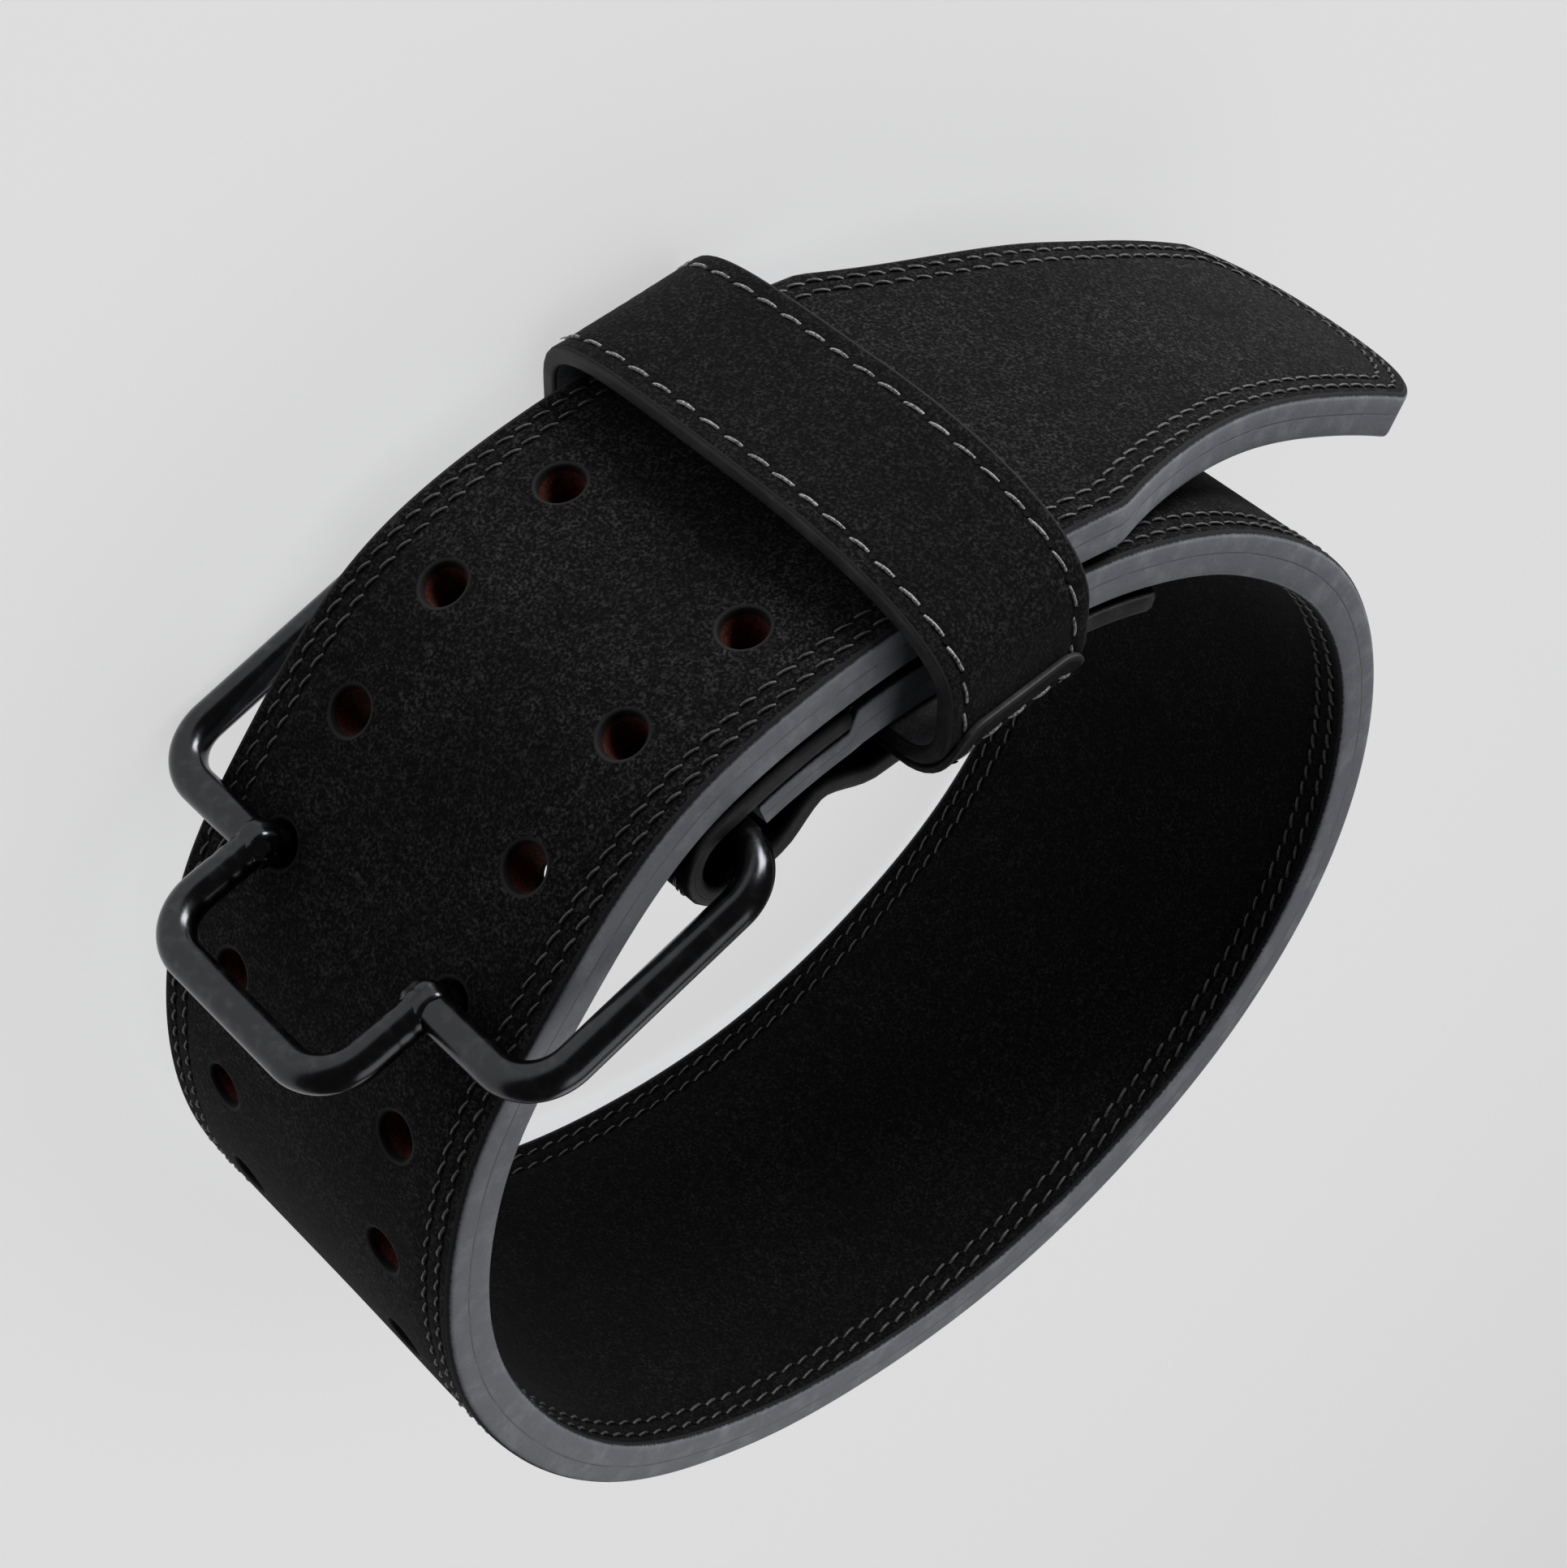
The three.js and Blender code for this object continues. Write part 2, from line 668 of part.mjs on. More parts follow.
// The plane that a body stands on: it touches three feet, has no foot below it, and its
// triangle of feet lies round the foot of the body's centre.
function standingNormal(points, centre) {
  const side = (a, b, p) => (b.x - a.x) * (p.y - a.y) - (b.y - a.y) * (p.x - a.x);
  for (let i = 0; i < points.length; i += 1) {
    for (let j = i + 1; j < points.length; j += 1) {
      for (let k = j + 1; k < points.length; k += 1) {
        const [a, b, c] = [points[i], points[j], points[k]];
        const turns = [side(a, b, centre), side(b, c, centre), side(c, a, centre)].map(Math.sign);
        if (Math.abs(turns[0] + turns[1] + turns[2]) === 3) {
          const normal = b.clone().sub(a).cross(c.clone().sub(a)).normalize();
          if (normal.z < 0) normal.negate();
          const lowest = Math.min(...points.map((point) => point.clone().sub(a).dot(normal)));
          if (lowest > -WELD_REACH) return normal;
        }
      }
    }
  }
  return new THREE.Vector3(0, 0, 1);
}

function centreOf(geometries) {
  const centre = new THREE.Vector3();
  let total = 0;
  for (const geometry of geometries) {
    const { position } = geometry.attributes;
    const index = geometry.index ? geometry.index.array : [...Array(position.count).keys()];
    for (let i = 0; i < index.length; i += 3) {
      const [a, b, c] = [0, 1, 2]
        .map((k) => new THREE.Vector3().fromBufferAttribute(position, index[i + k]));
      const volume = a.dot(b.clone().cross(c)) / 6;
      centre.addScaledVector(a.add(b).add(c), volume / 4);
      total += volume;
    }
  }
  return centre.divideScalar(total);
}

function piece(name, geometry, finish) {
  const mesh = new THREE.Mesh(geometry, new THREE.MeshStandardMaterial(finish));
  mesh.name = name;
  return mesh;
}

const pieces = [
  piece('belt_strap', strapGeometry(), COLOURS.suede),
  piece('buckle_tab', tabGeometry(), COLOURS.tabLeather),
  piece('keeper_loop', keeperGeometry(), COLOURS.keeperSuede),
  piece('buckle_frame', buckleGeometry(), COLOURS.blackSteel),
];

// The belt stands on its feet, with the middle of its box over the origin.
const belt = new THREE.Group();
belt.add(...pieces);
const normal = standingNormal(feet(), centreOf(pieces.map((part) => part.geometry)));
belt.quaternion.setFromUnitVectors(normal, new THREE.Vector3(0, 0, 1));
const box = new THREE.Box3().setFromObject(belt, true);
belt.position.set(-(box.min.x + box.max.x) / 2, -(box.min.y + box.max.y) / 2, -box.min.z);

const model = new THREE.Group();
model.add(belt);

export default model;
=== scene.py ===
"""A buckled weightlifting belt of black suede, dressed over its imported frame.

Sizes are in millimetres and belong to the belt's own frame: the loop's axis is Z, its middle is
the origin, the strap's lower edge is Z = 0 and the buckle faces -Y. BeltFrame takes them into the
row frame, in metres, where the belt stands tipped on its buckle, its keeper and its back edge.
"""
import json
import logging
import math
from collections.abc import Callable
from dataclasses import dataclass
from dataclasses import field
from enum import Enum

import bpy
import numpy as np
from mathutils import Matrix
from mathutils import Vector
from mathutils.geometry import delaunay_2d_cdt

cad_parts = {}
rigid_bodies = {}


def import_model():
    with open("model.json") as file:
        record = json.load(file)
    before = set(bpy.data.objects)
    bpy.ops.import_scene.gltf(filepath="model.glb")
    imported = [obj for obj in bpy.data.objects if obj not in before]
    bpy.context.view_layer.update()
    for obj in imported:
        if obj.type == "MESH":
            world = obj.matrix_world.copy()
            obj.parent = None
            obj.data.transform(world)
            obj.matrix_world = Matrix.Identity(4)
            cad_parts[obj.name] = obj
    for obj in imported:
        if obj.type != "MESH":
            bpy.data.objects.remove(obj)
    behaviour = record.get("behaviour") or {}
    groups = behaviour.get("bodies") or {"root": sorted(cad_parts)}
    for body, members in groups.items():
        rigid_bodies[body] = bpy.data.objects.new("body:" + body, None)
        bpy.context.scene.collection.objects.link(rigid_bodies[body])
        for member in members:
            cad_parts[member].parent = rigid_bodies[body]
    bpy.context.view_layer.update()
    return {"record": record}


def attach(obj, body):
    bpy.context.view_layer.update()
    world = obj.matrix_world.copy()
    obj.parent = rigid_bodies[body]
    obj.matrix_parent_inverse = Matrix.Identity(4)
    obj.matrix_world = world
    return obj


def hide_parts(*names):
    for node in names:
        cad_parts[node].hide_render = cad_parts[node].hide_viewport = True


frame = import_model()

MM = 0.001
BODY = "root"
log = logging.getLogger("belt")

Bend = Callable[[np.ndarray, np.ndarray, np.ndarray], np.ndarray]


def ease(share: np.ndarray) -> np.ndarray:
    """Go from 0 to 1 with level ends.

    Args:
        share: How far along each value is, clipped to 0 and 1.

    Returns:
        The eased shares.
    """
    x = np.clip(share, 0.0, 1.0)
    return x * x * (3.0 - 2.0 * x)


def bump(place: np.ndarray, centre: float, width: float) -> np.ndarray:
    """Return a bell of height 1 at centre that has faded about two widths away."""
    return np.exp(-(((place - centre) / width) ** 2))


class Surface(Enum):
    """The material slots of a leather piece's mesh, in their order."""

    FACE = 0
    EDGE = 1
    CORE = 2
    BACK = 3


@dataclass(frozen=True)
class BeltFrame:
    """The turn and shift that take the belt's own frame into the row frame.

    The back point is where the record's standing_edge mount lies on the strap's lower edge.
    """

    turn: Matrix
    shift: Vector
    back_turn: float = 180.7695
    back_reach: float = 115.9442

    @classmethod
    def from_record(cls, record: dict) -> "BeltFrame":
        """Find the frame from the mount on the strap's lower edge.

        Args:
            record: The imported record.

        Returns:
            The belt's frame.
        """
        mount = next(m for m in record["mounts"] if m["name"] == "standing_edge")
        up = -Vector(mount["axis"])
        normal = Vector((-up.x, -up.y, up.z))
        turn = normal.rotation_difference(Vector((0.0, 0.0, 1.0))).to_matrix()
        angle = math.radians(cls.back_turn)
        back = Vector((-math.sin(angle), -math.cos(angle), 0.0)) * cls.back_reach
        shift = Vector(mount["pos_m"]) - turn @ back * MM
        return cls(turn, shift)

    def to_row(self, points: np.ndarray) -> np.ndarray:
        """Take points of the belt's frame, in millimetres, into the row frame, in metres."""
        return points @ np.array(self.turn).T * MM + np.array(self.shift)


@dataclass
class PlanLine:
    """A line in a plane, met by its own length, with depth counted to its right."""

    points: np.ndarray
    lengths: np.ndarray = field(init=False)
    along: np.ndarray = field(init=False)

    def __post_init__(self) -> None:
        """Measure the line and its directions."""
        steps = np.linalg.norm(np.diff(self.points, axis=0), axis=1)
        self.lengths = np.concatenate([[0.0], np.cumsum(steps)])
        slopes = np.gradient(self.points, self.lengths, axis=0)
        self.along = slopes / np.linalg.norm(slopes, axis=1, keepdims=True)

    @property
    def total(self) -> float:
        """The line's whole length."""
        return float(self.lengths[-1])

    def at(self, length: np.ndarray) -> tuple[np.ndarray, np.ndarray]:
        """Find places on the line, carried straight on past its ends.

        Args:
            length: Distances from the start.

        Returns:
            The points and the directions along the line.
        """
        inside = np.clip(length, 0.0, self.total)
        table = (*self.points.T, *self.along.T)
        columns = [np.interp(inside, self.lengths, values) for values in table]
        point = np.stack(columns[:2], -1)
        along = np.stack(columns[2:], -1)
        along /= np.linalg.norm(along, axis=-1, keepdims=True)
        return point + along * np.asarray(length - inside)[..., None], along

    def place(self, length: np.ndarray, height: np.ndarray, depth: np.ndarray) -> np.ndarray:
        """Place points by length along the line, height over its plane and depth to its right."""
        point, along = self.at(length)
        right = np.stack([along[..., 1], -along[..., 0]], -1)
        flat = point + right * np.asarray(depth)[..., None]
        return np.concatenate([flat, np.asarray(height)[..., None]], -1)


@dataclass
class Outline:
    """A closed outline in the flat pattern, counter-clockwise, with ways to inset it."""

    points: np.ndarray

    def mitres(self) -> np.ndarray:
        """Return for each corner the way out that keeps an inset's width."""
        ahead = np.roll(self.points, -1, axis=0) - self.points
        ahead /= np.linalg.norm(ahead, axis=1, keepdims=True)
        out = np.stack([ahead[:, 1], -ahead[:, 0]], -1)
        before = np.roll(out, 1, axis=0)
        total = out + before
        return total / np.maximum(1.0 + np.sum(out * before, axis=1), 0.5)[:, None]

    def inset(self, distance: float) -> np.ndarray:
        """Return the outline's corners moved inwards by a distance."""
        return self.points - self.mitres() * distance

    def distance(self, places: np.ndarray) -> np.ndarray:
        """Return how far places lie from the outline."""
        start = self.points
        step = np.roll(start, -1, axis=0) - start
        square = np.maximum(np.sum(step * step, axis=1), 1e-12)
        best = np.full(len(places), np.inf)
        for corner, way, length2 in zip(start, step, square):
            offset = places - corner
            share = np.clip(offset @ way / length2, 0.0, 1.0)
            gap = np.linalg.norm(offset - share[:, None] * way, axis=1)
            np.minimum(best, gap, out=best)
        return best

    def contains(self, places: np.ndarray) -> np.ndarray:
        """Return whether each place lies inside the outline."""
        inside = np.zeros(len(places), bool)
        x, y = places.T
        for (ax, ay), (bx, by) in zip(self.points, np.roll(self.points, -1, axis=0)):
            crosses = (ay > y) != (by > y)
            run = ax + (y - ay) * (bx - ax) / (by - ay + 1e-30)
            inside ^= crosses & (x < run)
        return inside


@dataclass
class Hole:
    """A punched hole in a flat pattern."""

    centre: tuple[float, float]
    radius: float
    sides: int = 36

    def circle(self, extra: float) -> np.ndarray:
        """Return the hole's rim widened by an amount, clockwise."""
        angles = -np.linspace(0.0, math.tau, self.sides, endpoint=False)
        ring = np.stack([np.cos(angles), np.sin(angles)], -1)
        return np.array(self.centre) + ring * (self.radius + extra)


@dataclass
class LeatherPattern:
    """A flat piece of leather with rounded edges and holes, meshed flat and then bent.

    Lengths run along X, widths along Y and depth from the outer face to the inner one.
    """

    outline: Outline
    thickness: float
    edge_round: float = 1.4
    cell: float = 3.2
    holes: list[Hole] = field(default_factory=list)
    rows: tuple[float, ...] = ()
    groove: float = 0.3
    groove_width: float = 0.9
    lip: float = 0.9
    taper: float = 0.0
    wall_steps: int = 4
    round_steps: int = 4
    surface_depth: Callable[[np.ndarray, np.ndarray, int], np.ndarray] | None = None
    extra_lines: tuple[float, ...] = ()

    def profile(self, rounding: float) -> np.ndarray:
        """Return the edge's section, as rows of inset and depth from face to face."""
        angles = np.linspace(0.0, math.pi / 2, self.round_steps + 1)
        upper = np.stack([1.0 - np.sin(angles), 1.0 - np.cos(angles)], -1) * rounding
        middle = np.linspace(rounding, self.thickness - rounding, self.wall_steps + 1)[1:-1]
        wall = np.stack([np.zeros_like(middle), middle], -1)
        lower = upper[::-1] * [1.0, -1.0] + [0.0, self.thickness]
        return np.concatenate([upper, wall, lower])

    def inner_points(self) -> np.ndarray:
        """Return the grid and the rows beside the stitches that fill the face."""
        low = self.outline.points.min(0)
        high = self.outline.points.max(0)
        columns = np.arange(low[0], high[0], self.cell)
        across = np.arange(low[1], high[1], self.cell * 0.87)
        grid_x, grid_y = np.meshgrid(columns, across, indexing="ij")
        grid_x = grid_x + (np.arange(len(across)) % 2) * self.cell / 2
        points = np.stack([grid_x.ravel(), grid_y.ravel()], -1)
        beside = [row + side * self.groove_width * 1.3 for row in self.rows for side in (-1, 0, 1)]
        widest = max(beside, default=self.edge_round) + self.cell * 0.6
        points = points[self.outline.contains(points)]
        points = points[self.outline.distance(points) > widest]
        parts = [points]
        parts += [self.outline.inset(distance) for distance in beside]
        filled = np.concatenate(parts)
        for hole in self.holes:
            reach = np.linalg.norm(filled - np.array(hole.centre), axis=1)
            filled = filled[reach > hole.radius + self.lip + self.cell * 0.45]
            filled = np.concatenate([filled, hole.circle(self.lip + self.cell * 0.5)])
        return filled

    def face_mesh(self) -> tuple[np.ndarray, np.ndarray, list[np.ndarray]]:
        """Fill one face with triangles.

        Returns:
            The flat points, the triangles and the point numbers of each rim, the outline first.
        """
        rims = [self.outline.inset(self.edge_round)]
        rims += [hole.circle(self.lip) for hole in self.holes]
        parts = list(rims)
        edges = []
        start = 0
        for rim in rims:
            count = len(rim)
            edges += [(start + i, start + (i + 1) % count) for i in range(count)]
            start += count
        parts.append(self.inner_points())
        for place in self.extra_lines:
            low = self.outline.points[:, 1].min() + self.edge_round
            high = self.outline.points[:, 1].max() - self.edge_round
            steps = np.arange(low + 1.0, high, self.cell)
            parts.append(np.stack([np.full(len(steps), place), steps], -1))
        flat = np.concatenate(parts)
        result = delaunay_2d_cdt([Vector(p) for p in flat], edges, [], 0, 1e-5)
        points = np.array([tuple(v) for v in result[0]])
        number = {old: new for new, olds in enumerate(result[3]) for old in olds}
        triangles = np.array([face for face in result[2] if len(face) == 3])
        centres = points[triangles].mean(1)
        keep = Outline(rims[0]).contains(centres)
        for hole in self.holes:
            ring = hole.circle(self.lip)
            keep &= ~Outline(ring[::-1]).contains(centres)
        rim_numbers = []
        start = 0
        for rim in rims:
            rim_numbers.append(np.array([number[start + i] for i in range(len(rim))]))
            start += len(rim)
        return points, triangles[keep], rim_numbers

    def mesh(self, name: str, bend: Bend,
             to_row: Callable[[np.ndarray], np.ndarray]) -> bpy.types.Mesh:
        """Build the bent piece.

        Args:
            name: The mesh's name.
            bend: Places points by length, width and depth in the belt's frame.
            to_row: Takes the belt's frame to the row frame.

        Returns:
            The closed mesh, with the flat pattern as its UV map and the attributes rim and layer.
        """
        face, triangles, rims = self.face_mesh()
        count = len(face)
        rim_distance = self.outline.distance(face)
        dip = np.zeros(count)
        for row in self.rows:
            dip = dip + bump(rim_distance, row, self.groove_width)
        sides = []
        for side in (0, 1):
            depth = dip * self.groove
            if self.surface_depth is not None:
                depth = depth + self.surface_depth(face[:, 0], face[:, 1], side)
            sides.append(depth if side == 0 else self.thickness - depth)
        flat = [np.column_stack([face, sides[0]]), np.column_stack([face, sides[1]])]
        for hole, rim in zip(self.holes, rims[1:]):
            inwards = np.array(hole.centre) - flat[1][rim, :2]
            flat[1][rim, :2] += inwards * self.taper / hole.radius
        shares = [np.zeros(count), np.ones(count)]
        distances = [rim_distance, rim_distance]
        faces = [tuple(t[::-1]) for t in triangles] + [tuple(t + count) for t in triangles]
        kinds = [Surface.FACE.value] * len(triangles) + [Surface.BACK.value] * len(triangles)
        total = 2 * count
        walls = [(self.outline.points, self.outline.mitres(), self.edge_round, 0.0, Surface.EDGE)]
        for hole in self.holes:
            ring = hole.circle(0.0)
            inwards = (np.array(hole.centre) - ring) / hole.radius
            walls.append((ring, inwards, self.lip, self.taper, Surface.CORE))
        for (line, out, rounding, taper, kind), rim in zip(walls, rims):
            section = self.profile(rounding)
            rings = [rim]
            for inset, depth in section[1:-1]:
                share = depth / self.thickness
                ring = line - out * (inset - taper * share)
                upper = flat[0][rim, 2]
                lower = flat[1][rim, 2]
                flat.append(np.column_stack([ring, upper + (lower - upper) * share]))
                shares.append(np.full(len(ring), share))
                distances.append(np.full(len(ring), inset))
                rings.append(np.arange(total, total + len(ring)))
                total += len(ring)
            rings.append(rim + count)
            for k, (near, far) in enumerate(zip(rings, rings[1:])):
                nexts = np.roll(near, -1)
                far_nexts = np.roll(far, -1)
                faces += list(zip(near, nexts, far_nexts, far))
                rounded = k < 2 or k >= len(rings) - 3
                kinds += [Surface.EDGE.value if rounded else kind.value] * len(near)
        patterns = np.concatenate(flat)
        bent = to_row(bend(patterns[:, 0], patterns[:, 1], patterns[:, 2]))
        mesh = bpy.data.meshes.new(name)
        mesh.from_pydata(bent.tolist(), [], [tuple(int(i) for i in f) for f in faces])
        mesh.polygons.foreach_set("material_index", kinds)
        for label, values in (("rim", distances), ("layer", shares)):
            attribute = mesh.attributes.new(label, "FLOAT", "POINT")
            attribute.data.foreach_set("value", np.concatenate(values).astype(np.float32))
        corners = np.empty(len(mesh.loops), np.int32)
        mesh.loops.foreach_get("vertex_index", corners)
        uv = mesh.uv_layers.new(name="pattern")
        uv.data.foreach_set("uv", (patterns[corners, :2] * MM).astype(np.float32).ravel())
        mesh.validate()
        mesh.polygons.foreach_set("use_smooth", [True] * len(mesh.polygons))
        mesh.set_sharp_from_angle(angle=math.radians(50.0))
        return mesh

    def row(self, offset: float, depth: float,
            keep: Callable[[np.ndarray], np.ndarray]) -> list[np.ndarray]:
        """Return the runs of a stitch row, as pattern points, where keep says that it shows.

        Args:
            offset: The row's distance from the outline.
            depth: The depth at which the row lies.
            keep: Says of each pattern point whether the row shows there.

        Returns:
            One array of points for each unbroken run.
        """
        line = Outline(self.outline.inset(offset)).points
        shown = keep(line)
        if shown.all():
            line = np.concatenate([line, line[:1]])
            return [np.column_stack([line, np.full(len(line), depth)])]
        first = int(np.argmin(shown))
        line = np.roll(line, -first, axis=0)
        shown = np.roll(shown, -first)
        runs = []
        start = None
        for i, here in enumerate(np.append(shown, False)):
            if here and start is None:
                start = i
            if not here and start is not None:
                piece = line[start:i]
                start = None
                if len(piece) > 2:
                    runs.append(np.column_stack([piece, np.full(len(piece), depth)]))
        return runs


class Signal:
    """A value that runs between nodes, with Python's operators for its maths."""

    def __init__(self, nodes: "NodeSheet", socket: bpy.types.NodeSocket) -> None:
        """Hold the sheet and the socket that the value comes out of."""
        self.nodes = nodes
        self.socket = socket

    def _math(self, operation: str, *values: "Signal | float") -> "Signal":
        """Add one Math node that works on this value."""
        return self.nodes.add("ShaderNodeMath", {"operation": operation}, *values)

    def __add__(self, other: "Signal | float") -> "Signal":
        """Return the sum."""
        return self._math("ADD", self, other)

    __radd__ = __add__

    def __sub__(self, other: "Signal | float") -> "Signal":
        """Return this less the other."""
        return self._math("SUBTRACT", self, other)

    def __rsub__(self, other: "Signal | float") -> "Signal":
        """Return the other less this."""
        return self._math("SUBTRACT", other, self)

    def __mul__(self, other: "Signal | float") -> "Signal":
        """Return the product."""
        return self._math("MULTIPLY", self, other)

    __rmul__ = __mul__

    def __truediv__(self, other: "Signal | float") -> "Signal":
        """Return this over the other."""
        return self._math("DIVIDE", self, other)

    def span(self, low: float, high: float) -> "Signal":
        """Return 0 below low and 1 above high, with a smooth rise between."""
        settings = {"interpolation_type": "SMOOTHSTEP"}
        return self.nodes.add("ShaderNodeMapRange", settings, self, low, high, 0.0, 1.0)

    def bell(self, centre: float, width: float) -> "Signal":
        """Return a bell of height 1 round centre."""
        away = (self - centre) / width
        return self.nodes.add("ShaderNodeMath", {"operation": "EXPONENT"}, (away * away) * -1.0)


class NodeSheet:
    """A node tree that is filled by calls, one node at a time."""

    def __init__(self, tree: bpy.types.NodeTree) -> None:
        """Hold the tree."""
        self.tree = tree

    def add(self, kind: str, settings: dict | None = None, *values: object, output: int | str = 0,
            **named: object) -> Signal:
        """Add a node, set it up and join its inputs.

        Args:
            kind: The node's type.
            settings: Its own settings, which are set before its inputs.
            values: What goes into its enabled inputs, in order. None leaves one as it is.
            output: The output to return, by number or name.
            named: What goes into inputs by name, with an underscore for each space.

        Returns:
            The chosen output.
        """
        node = self.tree.nodes.new(kind)
        for key, value in (settings or {}).items():
            setattr(node, key, value)
        shown = [socket for socket in node.inputs if socket.enabled]
        pairs = list(zip(shown, values))
        pairs += [(next(s for s in shown if s.name == key.replace("_", " ")), value)
                  for key, value in named.items()]
        for socket, value in pairs:
            self.join(socket, value)
        shown_outputs = [socket for socket in node.outputs if socket.enabled] or [None]
        picked = node.outputs[output] if isinstance(output, str) else shown_outputs[output]
        return Signal(self, picked)

    def join(self, socket: bpy.types.NodeSocket, value: object) -> None:
        """Set a socket to a value, or link it to a signal.

        Args:
            socket: The input.
            value: A signal, a plain value, or None to leave the input as it is.
        """
        if isinstance(value, Signal):
            self.tree.links.new(value.socket, socket)
        elif value is not None:
            socket.default_value = value


Colour = tuple[float, float, float]


class ShaderSheet(NodeSheet):
    """The nodes of one material, with the calls that the finishes share."""

    def __init__(self, name: str) -> None:
        """Start an empty material."""
        self.material = bpy.data.materials.new(name)
        self.material.use_nodes = True
        super().__init__(self.material.node_tree)
        self.tree.nodes.clear()
        self.place = self.add("ShaderNodeTexCoord", output="Object")

    def noise(self, size: float, detail: float, roughness: float) -> Signal:
        """Add noise whose grains are about the given size in millimetres."""
        return self.add("ShaderNodeTexNoise", {}, self.place, Scale=1.0 / (size * MM),
                        Detail=detail, Roughness=roughness)

    def attribute(self, name: str) -> Signal:
        """Read a number that the mesh carries."""
        return self.add("ShaderNodeAttribute", {"attribute_name": name}, output="Fac")

    def mix(self, share: Signal | float, low: Signal | Colour, high: Signal | Colour) -> Signal:
        """Mix two colours."""
        node = self.tree.nodes.new("ShaderNodeMix")
        node.data_type = "RGBA"
        sockets = [s for s in node.inputs if s.enabled]
        for socket, value in zip(sockets, (share, low, high)):
            self.join(socket, (*value, 1.0) if isinstance(value, tuple) else value)
        return Signal(self, next(s for s in node.outputs if s.enabled))

    def bump(self, height: Signal, distance: float, under: Signal | None = None) -> Signal:
        """Add relief whose full height is the given distance in millimetres."""
        return self.add("ShaderNodeBump", {}, Strength=1.0, Distance=distance * MM, Height=height,
                        Normal=under)

    def finish(self, **inputs: object) -> bpy.types.Material:
        """Add the surface shader and the output.

        Args:
            inputs: The shader's inputs by name, with an underscore for each space.

        Returns:
            The finished material.
        """
        given = {key: (*value, 1.0) if isinstance(value, tuple) else value
                 for key, value in inputs.items()}
        shader = self.add("ShaderNodeBsdfPrincipled", {}, **given)
        self.add("ShaderNodeOutputMaterial", {}, shader)
        return self.material


@dataclass(frozen=True)
class SuedeFinish:
    """Short black nap, brushed unevenly, with painted shade along the seam grooves."""

    name: str
    dark: Colour = (0.0015, 0.0015, 0.0016)
    light: Colour = (0.056, 0.0562, 0.059)
    fibre: float = 0.75
    patch: float = 26.0
    sheen: float = 0.05
    seams: tuple[float, ...] = ()
    groove_width: float = 0.85
    groove_shade: float = 0.85

    def make(self) -> bpy.types.Material:
        """Build the material."""
        sheet = ShaderSheet(self.name)
        fibres = sheet.noise(self.fibre, 3.0, 0.7)
        clumps = sheet.noise(self.fibre * 3.5, 2.0, 0.6)
        patches = sheet.noise(self.patch, 2.0, 0.5)
        lit = fibres.span(0.43, 0.7) * (clumps.span(0.25, 0.7) * 0.7 + 0.3)
        lit = lit * (patches.span(0.3, 0.7) * 0.4 + 0.6)
        # Painted shade: the nap is darkened along each seam groove by groove_shade.
        for seam in self.seams:
            groove = sheet.attribute("rim").bell(seam, self.groove_width)
            lit = lit * (1.0 - groove * self.groove_shade)
        colour = sheet.mix(lit, self.dark, self.light)
        normal = sheet.bump(fibres * 0.65 + clumps * 0.35, 0.3)
        return sheet.finish(Base_Color=colour, Roughness=0.95, Specular_IOR_Level=0.12,
                            Sheen_Weight=self.sheen, Sheen_Roughness=0.45,
                            Sheen_Tint=(0.42, 0.42, 0.44), Normal=normal)


@dataclass(frozen=True)
class EdgeFinish:
    """Grey paint burnished over the cut plies, worn lighter in streaks."""

    name: str
    paint: Colour = (0.24, 0.25, 0.28)
    worn: Colour = (0.46, 0.47, 0.51)
    suede: Colour = (0.012, 0.012, 0.013)

    def make(self) -> bpy.types.Material:
        """Build the material."""
        sheet = ShaderSheet(self.name)
        layer = sheet.attribute("layer")
        streaks = sheet.noise(7.0, 4.0, 0.6)
        grain = sheet.noise(0.8, 3.0, 0.6)
        colour = sheet.mix(streaks.span(0.42, 0.8) * 0.55, self.paint, self.worn)
        colour = sheet.mix(grain.span(0.45, 0.9) * 0.2, colour, self.suede)
        glue = layer.bell(0.46, 0.016) * streaks.span(0.35, 0.55) * 0.5
        colour = sheet.mix(glue, colour, self.suede)
        wobble = (grain - 0.5) * 0.05
        rim = 1.0 - (layer + wobble).span(0.03, 0.085) * (1.0 - (layer + wobble).span(0.945, 0.985))
        colour = sheet.mix(rim, colour, self.suede)
        normal = sheet.bump(grain * 0.5 + streaks * 0.5 - layer.bell(0.46, 0.02) * 0.4, 0.12)
        return sheet.finish(Base_Color=colour, Roughness=rim * 0.35 + 0.55, Specular_IOR_Level=0.35,
                            Normal=normal)


@dataclass(frozen=True)
class CoreFinish:
    """The raw red-brown middle of the hide, seen inside the punched holes."""

    name: str
    raw: Colour = (0.13, 0.028, 0.013)
    stained: Colour = (0.03, 0.008, 0.005)
    black: Colour = (0.004, 0.004, 0.004)

    def make(self) -> bpy.types.Material:
        """Build the material."""
        sheet = ShaderSheet(self.name)
        layer = sheet.attribute("layer")
        fibres = sheet.noise(0.7, 4.0, 0.7)
        colour = sheet.mix(fibres.span(0.35, 0.75), self.stained, self.raw)
        top = (layer + fibres * 0.08).span(0.17, 0.24)
        bottom = (layer - fibres * 0.08).span(0.78, 0.86)
        colour = sheet.mix(1.0 - top * (1.0 - bottom), colour, self.black)
        return sheet.finish(Base_Color=colour, Roughness=0.85, Specular_IOR_Level=0.2,
                            Normal=sheet.bump(fibres, 0.2))


